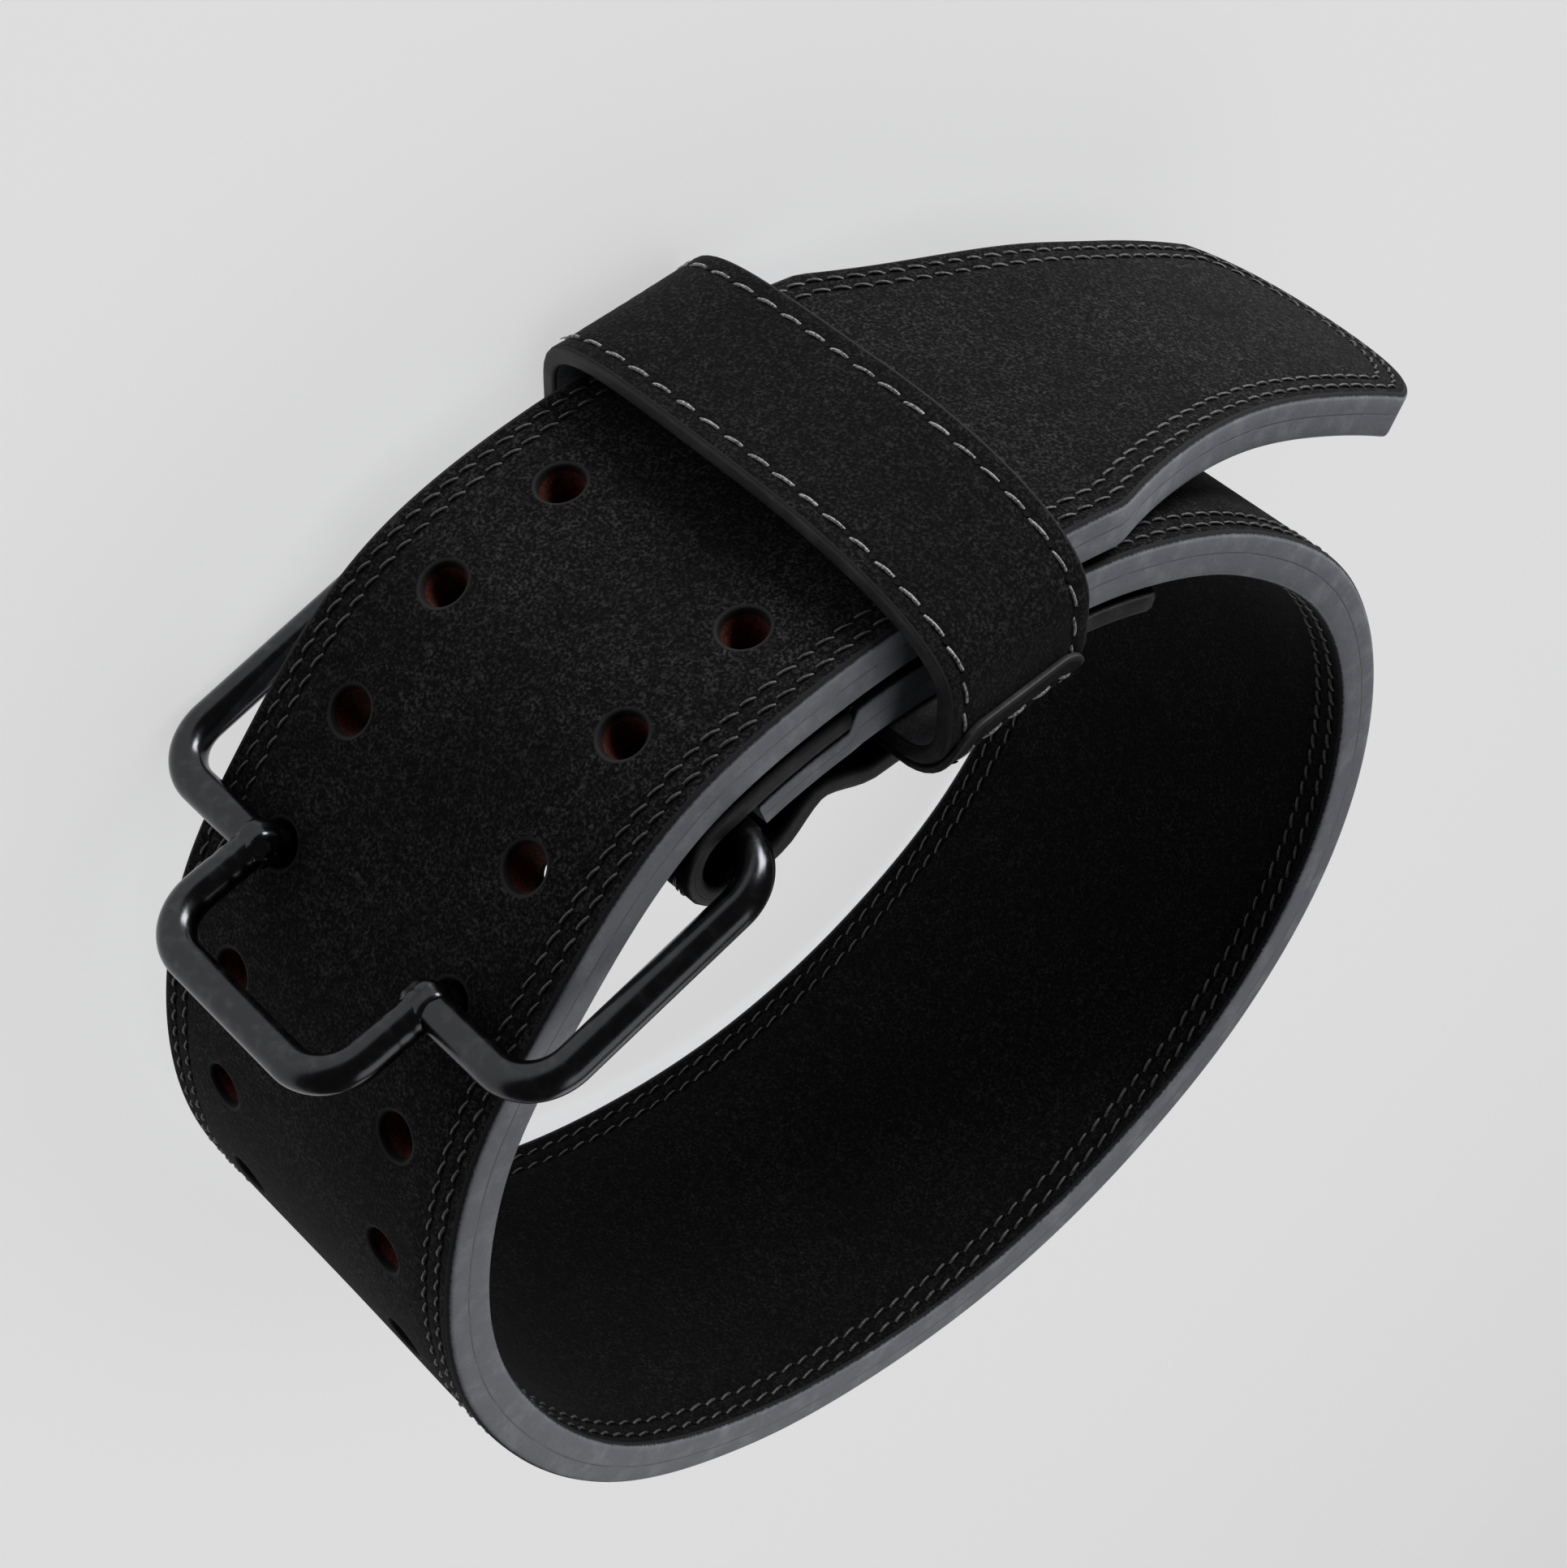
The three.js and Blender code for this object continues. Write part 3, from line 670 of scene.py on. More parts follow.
@dataclass(frozen=True)
class ThreadFinish:
    """Waxed thread, its strands painted lighter and darker as glints and shade along its twist."""

    name: str
    colour: Colour = (0.2, 0.2, 0.21)
    shade: Colour = (0.02, 0.02, 0.022)

    def make(self) -> bpy.types.Material:
        """Build the material."""
        sheet = ShaderSheet(self.name)
        strands = sheet.noise(0.5, 2.0, 0.6)
        # Painted glints and shade: the strands run between the shade colour and the thread's
        # colour.
        colour = sheet.mix(strands.span(0.3, 0.65), self.shade, self.colour)
        return sheet.finish(Base_Color=colour, Roughness=0.42, Specular_IOR_Level=0.5,
                            Normal=sheet.bump(strands, 0.12))


@dataclass(frozen=True)
class SteelFinish:
    """Black plated steel wire with faint draw lines."""

    name: str
    colour: Colour = (0.055, 0.056, 0.06)

    def make(self) -> bpy.types.Material:
        """Build the material."""
        sheet = ShaderSheet(self.name)
        scuffs = sheet.noise(3.0, 4.0, 0.6)
        fine = sheet.noise(0.5, 2.0, 0.6)
        colour = sheet.mix(scuffs.span(0.45, 0.8), self.colour, tuple(c * 1.5 for c in self.colour))
        return sheet.finish(Base_Color=colour, Metallic=1.0,
                            Roughness=scuffs.span(0.3, 0.8) * 0.1 + 0.2,
                            Normal=sheet.bump(scuffs * 0.7 + fine * 0.3, 0.02))


@dataclass(frozen=True)
class PlainFinish:
    """One even colour with a little mottling, for what stays in the background."""

    name: str
    colour: Colour
    roughness: float
    grain: float = 40.0
    depth: float = 0.02

    def make(self) -> bpy.types.Material:
        """Build the material."""
        sheet = ShaderSheet(self.name)
        mottle = sheet.noise(self.grain, 2.0, 0.5)
        colour = sheet.mix(mottle, self.colour, tuple(c * (1.0 - self.depth) for c in self.colour))
        return sheet.finish(Base_Color=colour, Roughness=self.roughness, Specular_IOR_Level=0.2)


@dataclass
class Finishes:
    """The materials that the pieces share."""

    suede: bpy.types.Material
    keeper_suede: bpy.types.Material
    edge: bpy.types.Material
    dark_edge: bpy.types.Material
    flesh: bpy.types.Material
    core: bpy.types.Material
    lining: bpy.types.Material
    thread: bpy.types.Material
    keeper_thread: bpy.types.Material
    pit: bpy.types.Material
    steel: bpy.types.Material

    @classmethod
    def make(cls) -> "Finishes":
        """Build them all."""
        return cls(
            suede=SuedeFinish("black_suede", seams=(4.0, 8.0)).make(),
            # Painted shade: the belt's suede with its lighter nap painted darker, for the shade on
            # the keeper's sides.
            keeper_suede=SuedeFinish("keeper_suede", light=(0.036, 0.0362, 0.038),
                                     seams=(4.7,)).make(),
            edge=EdgeFinish("painted_edge").make(),
            # Painted shade: the grey edge paint again, painted near-black for the shade on the
            # tab's and the keeper's edges.
            dark_edge=EdgeFinish("black_edge", paint=(0.016, 0.016, 0.017),
                                 worn=(0.09, 0.091, 0.096)).make(),
            flesh=SuedeFinish("flesh_side", (0.13, 0.131, 0.138), (0.27, 0.272, 0.285),
                              sheen=0.0).make(),
            core=CoreFinish("hide_core").make(),
            lining=SuedeFinish("inner_suede", light=(0.026, 0.0261, 0.0275),
                               seams=(4.0, 8.0)).make(),
            thread=ThreadFinish("grey_thread", colour=(0.09, 0.09, 0.094)).make(),
            keeper_thread=ThreadFinish("light_thread", colour=(0.42, 0.42, 0.43)).make(),
            # Painted shade: near-black discs beside the stitches stand in for the shade in the
            # needle holes.
            pit=PlainFinish("needle_pit", (0.002, 0.002, 0.002), 0.9).make(),
            steel=SteelFinish("black_steel").make(),
        )


class GeometrySheet(NodeSheet):
    """A Geometry Nodes tree with named inputs."""

    def __init__(self, name: str) -> None:
        """Start a tree that takes and gives geometry."""
        group = bpy.data.node_groups.new(name, "GeometryNodeTree")
        super().__init__(group)
        self.ids: dict[str, str] = {}
        group.interface.new_socket("Geometry", in_out="INPUT", socket_type="NodeSocketGeometry")
        group.interface.new_socket("Geometry", in_out="OUTPUT", socket_type="NodeSocketGeometry")

    def inputs(self, **kinds: str) -> dict[str, Signal]:
        """Name the tree's inputs.

        Args:
            kinds: The kind of each input, such as Float or Material.

        Returns:
            The signal of each input, and the geometry's as Geometry.
        """
        for name, kind in kinds.items():
            item = self.tree.interface.new_socket(name, in_out="INPUT",
                                                  socket_type="NodeSocket" + kind)
            self.ids[name] = item.identifier
        node = self.tree.nodes.new("NodeGroupInput")
        return {socket.name: Signal(self, socket) for socket in node.outputs if socket.name}

    def give(self, result: Signal) -> None:
        """Send the result out of the tree."""
        node = self.tree.nodes.new("NodeGroupOutput")
        self.tree.links.new(result.socket, node.inputs[0])

    def run(self, name: str, mesh: bpy.types.Mesh, **values: object) -> bpy.types.Object:
        """Run the tree on a mesh and keep what it makes.

        Args:
            name: The new piece's name.
            mesh: What the tree starts from.
            values: The tree's inputs by name.

        Returns:
            The new object, with a plain mesh.
        """
        source = bpy.data.objects.new(name + "_path", mesh)
        bpy.context.scene.collection.objects.link(source)
        modifier = source.modifiers.new("nodes", "NODES")
        modifier.node_group = self.tree
        for key, value in values.items():
            modifier[self.ids[key]] = value
        graph = bpy.context.evaluated_depsgraph_get()
        made = bpy.data.meshes.new_from_object(source.evaluated_get(graph))
        bpy.data.objects.remove(source)
        return new_object(name, made)


def new_object(name: str, mesh: bpy.types.Mesh) -> bpy.types.Object:
    """Put a mesh into the scene at the origin."""
    mesh.name = name
    thing = bpy.data.objects.new(name, mesh)
    bpy.context.scene.collection.objects.link(thing)
    return thing


def stitch_sheet() -> GeometrySheet:
    """Build the tree that sews a row of stitches along a path.

    Returns:
        The tree. Its path carries the way out of the leather as the attribute out.
    """
    sheet = GeometrySheet("stitches")
    given = sheet.inputs(Pitch="Float", Length="Float", Radius="Float", Rise="Float", Slant="Float",
                         Pit="Float", Thread="Material", Dark="Material", Seed="Int")
    curve = sheet.add("GeometryNodeMeshToCurve", {}, given["Geometry"])
    curve = sheet.add("GeometryNodeResampleCurve", {"mode": "LENGTH"}, Curve=curve,
                      Length=given["Pitch"])
    tangent = sheet.add("GeometryNodeInputTangent")
    out = sheet.add("GeometryNodeInputNamedAttribute", {"data_type": "FLOAT_VECTOR"}, "out")
    settings = {"primary_axis": "Z", "secondary_axis": "X"}
    aim = sheet.add("FunctionNodeAxesToRotation", settings, out, tangent)
    turned = sheet.add("ShaderNodeCombineXYZ", {}, 0.0, 0.0, given["Slant"])
    turned = sheet.add("FunctionNodeEulerToRotation", {}, turned)
    aim_slanted = sheet.add("FunctionNodeRotateRotation", {"rotation_space": "LOCAL"}, aim, turned)
    size = sheet.add("FunctionNodeRandomValue", {"data_type": "FLOAT_VECTOR"}, (0.88, 0.85, 0.8),
                     (1.08, 1.15, 1.2), Seed=given["Seed"])
    half = given["Length"] * 0.5
    start = sheet.add("ShaderNodeCombineXYZ", {}, half * -1.0, 0.0, given["Rise"] * -1.2)
    middle = sheet.add("ShaderNodeCombineXYZ", {}, 0.0, 0.0, given["Rise"] * 2.6)
    end = sheet.add("ShaderNodeCombineXYZ", {}, half, 0.0, given["Rise"] * -1.2)
    arc = sheet.add("GeometryNodeCurveQuadraticBezier", {}, 6, start, middle, end)
    ring = sheet.add("GeometryNodeCurvePrimitiveCircle", {}, Resolution=6, Radius=given["Radius"])
    thread = sheet.add("GeometryNodeCurveToMesh", {}, Curve=arc, Profile_Curve=ring, Fill_Caps=True)
    thread = sheet.add("GeometryNodeSetShadeSmooth", {}, thread)
    thread = sheet.add("GeometryNodeSetMaterial", {}, Geometry=thread, Material=given["Thread"])
    sewn = sheet.add("GeometryNodeInstanceOnPoints", {}, Points=curve, Instance=thread,
                     Rotation=aim_slanted, Scale=size)
    # Painted shade: a near-black disc for the shade in each needle hole.
    pit = sheet.add("GeometryNodeMeshCircle", {"fill_type": "NGON"}, 8, given["Pit"])
    beside = sheet.add("ShaderNodeCombineXYZ", {}, given["Pitch"] * 0.5, 0.0,
                       given["Radius"] * 0.12)
    pit = sheet.add("GeometryNodeTransform", {}, Geometry=pit, Translation=beside)
    pit = sheet.add("GeometryNodeSetMaterial", {}, Geometry=pit, Material=given["Dark"])
    pits = sheet.add("GeometryNodeInstanceOnPoints", {}, Points=curve, Instance=pit, Rotation=aim)
    join = sheet.tree.nodes.new("GeometryNodeJoinGeometry")
    for part in (sewn, pits):
        sheet.tree.links.new(part.socket, join.inputs[0])
    sheet.give(sheet.add("GeometryNodeRealizeInstances", {}, Signal(sheet, join.outputs[0])))
    return sheet


def wire_sheet() -> GeometrySheet:
    """Build the tree that draws round wire along a path.

    Returns:
        The tree. Its path carries the wire's share of its full radius as the attribute swell.
    """
    sheet = GeometrySheet("wire")
    given = sheet.inputs(Radius="Float", Sides="Int", Steel="Material")
    curve = sheet.add("GeometryNodeMeshToCurve", {}, given["Geometry"])
    swell = sheet.add("GeometryNodeInputNamedAttribute", {"data_type": "FLOAT"}, "swell")
    ring = sheet.add("GeometryNodeCurvePrimitiveCircle", {}, Resolution=given["Sides"],
                     Radius=given["Radius"])
    tube = sheet.add("GeometryNodeCurveToMesh", {}, Curve=curve, Profile_Curve=ring, Scale=swell,
                     Fill_Caps=True)
    tube = sheet.add("GeometryNodeSetShadeSmooth", {}, tube)
    tube = sheet.add("GeometryNodeRealizeInstances", {}, tube)
    sheet.give(sheet.add("GeometryNodeSetMaterial", {}, Geometry=tube, Material=given["Steel"]))
    return sheet


def path_mesh(name: str, runs: list[np.ndarray], **attributes: np.ndarray) -> bpy.types.Mesh:
    """Build a mesh of bare lines.

    Args:
        name: The mesh's name.
        runs: The points of each line, in metres.
        attributes: What each point carries: a number, or a vector of three.

    Returns:
        The mesh.
    """
    mesh = bpy.data.meshes.new(name)
    edges = []
    start = 0
    for run in runs:
        edges += [(start + i, start + i + 1) for i in range(len(run) - 1)]
        start += len(run)
    mesh.from_pydata(np.concatenate(runs).tolist(), edges, [])
    for label, values in attributes.items():
        kind, member = ("FLOAT", "value") if values.ndim == 1 else ("FLOAT_VECTOR", "vector")
        mesh.attributes.new(label, kind, "POINT").data.foreach_set(member, values.ravel())
    return mesh


@dataclass(frozen=True)
class Stitching:
    """How a seam is sewn, in millimetres."""

    pitch: float = 4.8
    length: float = 3.7
    radius: float = 0.36
    rise: float = 0.22
    slant: float = 14.0
    pit: float = 0.5

    def sew(self, name: str, sheet: GeometrySheet, belt: BeltFrame, bend: Bend,
            runs: list[np.ndarray], side: int, thread: bpy.types.Material,
            pit: bpy.types.Material, seed: int) -> bpy.types.Object:
        """Sew rows on one face of a bent pattern.

        Args:
            name: The new piece's name.
            sheet: The stitching tree.
            belt: The belt's frame.
            bend: The pattern's bend.
            runs: The rows, as pattern points with their depth.
            side: 0 on the outer face and 1 on the inner one.
            thread: The thread's material.
            pit: The needle holes' material.
            seed: The seed for the stitches' small differences.

        Returns:
            The stitches as one object.
        """
        way = 1.0 if side else -1.0
        bent = []
        outs = []
        for run in runs:
            u, v, d = run.T
            here = belt.to_row(bend(u, v, d))
            out = belt.to_row(bend(u, v, d + way)) - here
            bent.append(here)
            outs.append(out / np.linalg.norm(out, axis=1, keepdims=True))
        mesh = path_mesh(name + "_rows", bent, out=np.concatenate(outs))
        return sheet.run(name, mesh, Pitch=self.pitch * MM, Length=self.length * MM,
                         Radius=self.radius * MM, Rise=self.rise * MM,
                         Slant=math.radians(self.slant) * way, Pit=self.pit * MM,
                         Thread=thread, Dark=pit, Seed=seed)


@dataclass
class Workshop:
    """What every sub-assembly is made with."""

    belt: BeltFrame
    finishes: Finishes
    stitches: GeometrySheet
    wires: GeometrySheet

    def dress(self, thing: bpy.types.Object, slot: str, replaces: str = "") -> bpy.types.Object:
        """Give a piece its body and hide the node that it stands for.

        Args:
            thing: The finished piece.
            slot: The record's material slot; not used.
            replaces: The node that it replaces, if any.

        Returns:
            The piece.
        """
        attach(thing, BODY)
        if replaces:
            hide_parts(replaces)
        triangles = sum(len(p.vertices) - 2 for p in thing.data.polygons)
        log.info("%s: %d triangles on %s", thing.name, triangles, BODY)
        return thing


@dataclass
class LoopShape:
    """The strap's outer face from above: an uneven round, a lap and a tongue that springs away."""

    width: float = 100.0
    thickness: float = 11.0
    reach: float = 124.0
    start_turn: float = 5.0
    shares: tuple[float, ...] = (0.903, 0.862, 0.854, 0.905, 0.979, 1.052, 1.082, 1.078, 1.043,
                                 0.995, 0.969, 0.967, 0.997, 1.04, 1.052, 1.058, 1.015, 0.933)
    lap: float = 12.8
    lap_from: float = 295.0
    lap_span: float = 70.0
    spring: float = 15.6
    spring_from: float = 385.0
    spring_span: float = 60.0
    spring_power: float = 3.55
    step: float = 0.25
    end_turn: float = 520.0

    def line(self) -> PlanLine:
        """Return the outer face as a line from the buckle end."""
        turns = np.arange(self.start_turn, self.end_turn, self.step)
        rows = len(self.shares)
        place = (turns % 360.0) / (360.0 / rows)
        row = np.floor(place).astype(int)
        t = place - row
        shares = np.array(self.shares)
        before, start, end, after = (shares[(row + k) % rows] for k in (-1, 0, 1, 2))
        bend = 2 * before - 5 * start + 4 * end - after
        twist = -before + 3 * start - 3 * end + after
        share = start + 0.5 * t * (end - before + t * (bend + t * twist))
        lap = self.lap * ease((turns - self.lap_from) / self.lap_span)
        free = np.maximum(0.0, turns - self.spring_from) / self.spring_span
        reach = self.reach * share + lap + self.spring * free ** self.spring_power
        angles = np.radians(turns)
        return PlanLine(np.stack([-reach * np.sin(angles), -reach * np.cos(angles)], -1))

    def length_at_turn(self, line: PlanLine, turn: float) -> float:
        """Return the length along the line at a turn round the loop."""
        return float(line.lengths[round((turn - self.start_turn) / self.step)])


@dataclass
class BuckleSizes:
    """The bent wire's sizes."""

    wire: float = 8.0
    length: float = 63.2
    side_gap: float = 6.0
    bend: float = 11.0
    ride: float = 1.5
    heel_gap: float = 1.7
    pull: float = 26.0
    pull_lift: float = 4.0
    prong: float = 13.0
    prong_bend: float = 5.0


@dataclass
class BeltPlan:
    """Where everything lies, worked out from the loop and the buckle."""

    loop: LoopShape = field(default_factory=LoopShape)
    buckle: BuckleSizes = field(default_factory=BuckleSizes)
    clear: float = 0.3
    tab_thickness: float = 4.4
    tail: float = 307.0
    hole_pitch: float = 31.2
    hole_spacing: float = 56.0
    holes_each_way: int = 4
    keeper_centre: float = 131.9
    keeper_band: float = 41.0

    def __post_init__(self) -> None:
        """Work out the lengths along the strap that the pieces share."""
        self.face = self.loop.line()
        radius = self.buckle.wire / 2
        heel_length = -(self.buckle.heel_gap + radius)
        heel_depth = self.tab_thickness + self.clear + radius
        self.heel_length = heel_length
        self.heel = self.place(heel_length, 0.0, heel_depth)
        lengths = np.arange(self.loop.length_at_turn(self.face, self.loop.lap_from),
                            self.loop.length_at_turn(self.face, 359.0), 0.05)
        bars = self.face.place(lengths, np.zeros_like(lengths),
                               np.full_like(lengths, -(self.buckle.ride + radius)))
        reach = np.linalg.norm(bars - self.heel, axis=1)
        self.in_use = float(lengths[np.argmin(np.abs(reach - self.buckle.length))])
        self.front = self.place(self.in_use, 0.0, -(self.buckle.ride + radius))
        self.tip = self.in_use + self.tail
        self.keeper = self.in_use + self.keeper_centre

    def place(self, length: float, height: float, depth: float) -> np.ndarray:
        """Place one point on the strap by length, height and depth."""
        return self.face.place(np.array(length), np.array(height), np.array(depth))

    def keeper_seat(self) -> tuple[float, float, float, float]:
        """Find how the strap's inner layer lies under the keeper.

        Returns:
            Its inner face's depth at the keeper's edges and at its middle, and the lengths
            between which the keeper covers it.
        """
        point, along = self.face.at(np.array(self.keeper))
        right = np.array([along[1], -along[0]])
        lengths = np.arange(0.0, self.face.total / 4)
        inner = self.face.place(lengths, np.zeros_like(lengths),
                                np.full_like(lengths, self.loop.thickness))[:, :2] - point
        place = inner @ along
        under = np.abs(place) <= self.keeper_band / 2
        depth = inner @ right
        middle = depth[np.argmin(np.abs(place))]
        covered = lengths[under]
        return float(depth[under].max()), float(middle), float(covered.min()), float(covered.max())


@dataclass
class BeltStrap:
    """The long strap, with its holes, its tapered tongue and its edge seams."""

    shop: Workshop
    plan: BeltPlan
    taper: float = 78.0
    narrow: float = 32.0
    tip_width: float = 70.0
    tip_radius: float = 38.0
    hole_radius: float = 5.0
    hole_taper: float = 1.8
    edge_step: float = 3.0
    seat_length: float = 25.3
    seat_slope: float = 0.6
    seams: tuple[float, ...] = (4.0, 8.0)
    lean: float = 3.6
    lean_from: float = 178.0
    lean_span: float = 55.0
    lean_power: float = 1.5

    def half_width(self, from_tip: np.ndarray) -> np.ndarray:
        """Return half the strap's width at distances from the tip."""
        half = self.tip_width / 2
        round_length = self.tip_radius - math.sqrt(self.tip_radius ** 2 - half ** 2)
        share = np.clip((from_tip - round_length - self.narrow) / self.taper, 0.0, 1.0)
        body = half + (self.plan.loop.width / 2 - half) * share ** 2
        inside = np.clip(self.tip_radius - from_tip, 0.0, self.tip_radius)
        tip = np.sqrt(np.maximum(self.tip_radius ** 2 - inside ** 2, 0.0))
        return np.where(from_tip < round_length, tip, body)

    def outline(self) -> Outline:
        """Return the flat strap's outline, counter-clockwise."""
        middle = self.plan.loop.width / 2
        half = self.tip_width / 2
        widest = math.asin(half / self.tip_radius)
        round_length = self.tip_radius * (1.0 - math.cos(widest))
        straight = np.arange(0.0, self.plan.tip - round_length, self.edge_step)
        lower = np.stack([straight, middle - self.half_width(self.plan.tip - straight)], -1)
        angles = np.linspace(-widest, widest, 41)
        centre = self.plan.tip - self.tip_radius
        tip = np.stack([centre + self.tip_radius * np.cos(angles),
                        middle + self.tip_radius * np.sin(angles)], -1)
        upper = lower[::-1] * [1.0, -1.0] + [0.0, 2 * middle]
        end = np.arange(2 * middle - self.edge_step, 0.0, -self.edge_step)
        start = np.stack([np.zeros_like(end), end], -1)
        return Outline(np.concatenate([lower, tip, upper, start]))

    def holes(self) -> list[Hole]:
        """Return the pairs of holes."""
        middle = self.plan.loop.width / 2
        found = []
        for pair in range(-self.plan.holes_each_way, self.plan.holes_each_way + 1):
            for side in (-0.5, 0.5):
                along = self.plan.in_use + pair * self.plan.hole_pitch
                across = middle + side * self.plan.hole_spacing
                found.append(Hole((along, across), self.hole_radius))
        return found

    def surface(self, length: np.ndarray, width: np.ndarray, side: int) -> np.ndarray:
        """Return how deep the face lies: the tab's seat and the leather's slight unevenness."""
        waves = np.sin(length / 17.0 + 1.3 * side) * np.sin(width / 13.0 + 0.7) * 0.12 + 0.12
        if side == 1:
            return waves
        seat_depth = self.plan.tab_thickness + self.plan.clear
        seat = seat_depth * (1.0 - ease((length - self.seat_length) / self.seat_slope))
        return waves * (length > self.seat_length) + seat

    def bend(self, length: np.ndarray, width: np.ndarray, depth: np.ndarray) -> np.ndarray:
        """Bend the flat strap into its loop, with the tongue's lower edge leaning out."""
        share = ease((length - self.plan.in_use - self.lean_from) / self.lean_span)
        across = np.maximum(1.0 - width / self.plan.loop.width, 0.0)
        lean = self.lean * share * across ** self.lean_power
        return self.plan.face.place(length, width, depth - lean)

    def pattern(self) -> LeatherPattern:
        """Return the flat strap."""
        lines = tuple(self.seat_length + step for step in (-0.1, 0.3, 0.7))
        return LeatherPattern(self.outline(), self.plan.loop.thickness, holes=self.holes(),
                              rows=self.seams, groove=0.4, taper=self.hole_taper,
                              surface_depth=self.surface, extra_lines=lines)

    def build(self) -> None:
        """Make the strap and sew its seams."""
        finishes = self.shop.finishes
        pattern = self.pattern()
        mesh = pattern.mesh("strap", self.bend, self.shop.belt.to_row)
        for material in (finishes.suede, finishes.edge, finishes.core, finishes.lining):
            mesh.materials.append(material)
        self.shop.dress(new_object("strap_leather", mesh), "suede", "belt_strap")
        for side, name in enumerate(("strap_seam_outer", "strap_seam_inner")):
            depth = (self.plan.loop.thickness - 0.2) if side else 0.2
            runs = []
            for seam in self.seams:
                low = self.seat_length + 2.0 if side == 0 else seam - 1.0
                runs += pattern.row(seam, depth, lambda line, low=low: line[:, 0] > low)
            sewn = Stitching().sew(name, self.shop.stitches, self.shop.belt, self.bend, runs, side,
                                   finishes.thread, finishes.pit, 11 + side)
            self.shop.dress(sewn, "suede")


@dataclass
class BuckleTab:
    """The thinner leather folded round the buckle's heel bar."""

    shop: Workshop
    plan: BeltPlan
    fold_radius: float = 6.6
    fold_past: float = 2.1
    outer_leg: float = 25.0
    inner_leg: float = 115.0
    slack: float = 1.6
    settle: float = 16.0
    ramp_up: float = 16.0
    ramp_down: float = 11.0
    ramp_spare: float = 4.0
    keeper_stack: float = 6.3
    seams: tuple[float, ...] = (4.0,)
    bare: float = 12.0
    corner: float = 3.0
    step: float = 1.0

    def gap(self, length: np.ndarray) -> np.ndarray:
        """Return the gap between the inner leg and the strap, over the keeper as well."""
        depth, middle, start, end = self.plan.keeper_seat()
        fold_gap = 2 * self.fold_radius + self.plan.tab_thickness - self.plan.loop.thickness
        climb = self.keeper_stack + depth - middle - self.slack
        down = 1.0 - ease(length / self.settle)
        up = ease((length - start + self.ramp_spare + self.ramp_up) / self.ramp_up)
        off = 1.0 - ease((length - end - self.ramp_spare) / self.ramp_down)
        return self.slack + (fold_gap - self.slack) * down + climb * up * off

    def line(self) -> PlanLine:
        """Return the middle of the tab's leather, from the inner leg's end round the fold."""
        half = self.plan.tab_thickness / 2
        fold = self.plan.heel_length - self.plan.buckle.heel_gap - self.fold_past
        reach = self.fold_radius + half
        depth = half + reach
        inner = np.arange(self.inner_leg, fold, -self.step)
        angles = np.linspace(math.pi, 0.0, 40)
        outer = np.arange(fold, self.outer_leg + self.step, self.step)
        lengths = np.concatenate([inner, fold - reach * np.sin(angles), outer[1:]])
        depths = np.concatenate([self.plan.loop.thickness + self.gap(inner) + half,
                                 depth - reach * np.cos(angles), np.full(len(outer) - 1, half)])
        points = self.plan.face.place(lengths, np.zeros_like(lengths), depths)[:, :2]
        return PlanLine(points)

    def build(self) -> None:
        """Make the tab and sew it."""
        line = self.line()
        half = self.plan.tab_thickness / 2

        def bend(length: np.ndarray, width: np.ndarray, depth: np.ndarray) -> np.ndarray:
            """Bend the flat tab along its line."""
            return line.place(length, width, depth - half)

        outline = rounded_strip(line.total, self.plan.loop.width, (self.corner, 0.6), 2.5)
        pattern = LeatherPattern(outline, self.plan.tab_thickness, edge_round=1.1, cell=2.6,
                                 rows=self.seams, groove=0.25, wall_steps=2)
        mesh = pattern.mesh("tab", bend, self.shop.belt.to_row)
        finishes = self.shop.finishes
        # Painted shade: the tab's edges take the edge paint painted near-black.
        for material in (finishes.lining, finishes.dark_edge, finishes.core, finishes.lining):
            mesh.materials.append(material)
        self.shop.dress(new_object("tab_leather", mesh), "tab_leather", "buckle_tab")
        sewn_to = line.total - self.outer_leg - self.bare
        runs = pattern.row(self.seams[0], 0.15, lambda flat: flat[:, 0] < sewn_to)
        sewn = Stitching(pitch=5.0).sew("tab_seam", self.shop.stitches, self.shop.belt, bend,
                                        runs, 0, finishes.thread, finishes.pit, 21)
        self.shop.dress(sewn, "tab_leather")


def rounded_strip(length: float, width: float, corners: tuple[float, float],
                  step: float) -> Outline:
    """Outline a straight strip whose ends have rounded corners.

    Args:
        length: The strip's length.
        width: Its width.
        corners: The corner radius at the start and at the end.
        step: The spacing of the outline's points.

    Returns:
        The outline, counter-clockwise from the start's lower corner.
    """
    start, end = corners
    arcs = [(start, start, start, 180.0), (length - end, end, end, 270.0),
            (length - end, width - end, end, 0.0), (start, width - start, start, 90.0)]
    points = []
    for x, y, radius, angle in arcs:
        count = max(2, round(radius * 1.6 / min(step, 1.5)) + 1)
        turn = np.radians(np.linspace(angle, angle + 90.0, count))
        points.append(np.stack([x + radius * np.cos(turn), y + radius * np.sin(turn)], -1))
    dense = []
    for arc, following in zip(points, points[1:] + points[:1]):
        dense.append(arc)
        gap = following[0] - arc[-1]
        count = int(np.linalg.norm(gap) / step)
        shares = np.linspace(0.0, 1.0, count + 1)[1:-1]
        dense.append(arc[-1] + gap * shares[:, None])
    return Outline(np.concatenate(dense))


@dataclass(frozen=True)
class KeeperEdge:
    """The keeper's inner face at one edge: its reach from the strap's centre line and face."""

    lower: float
    upper: float
    crown: float


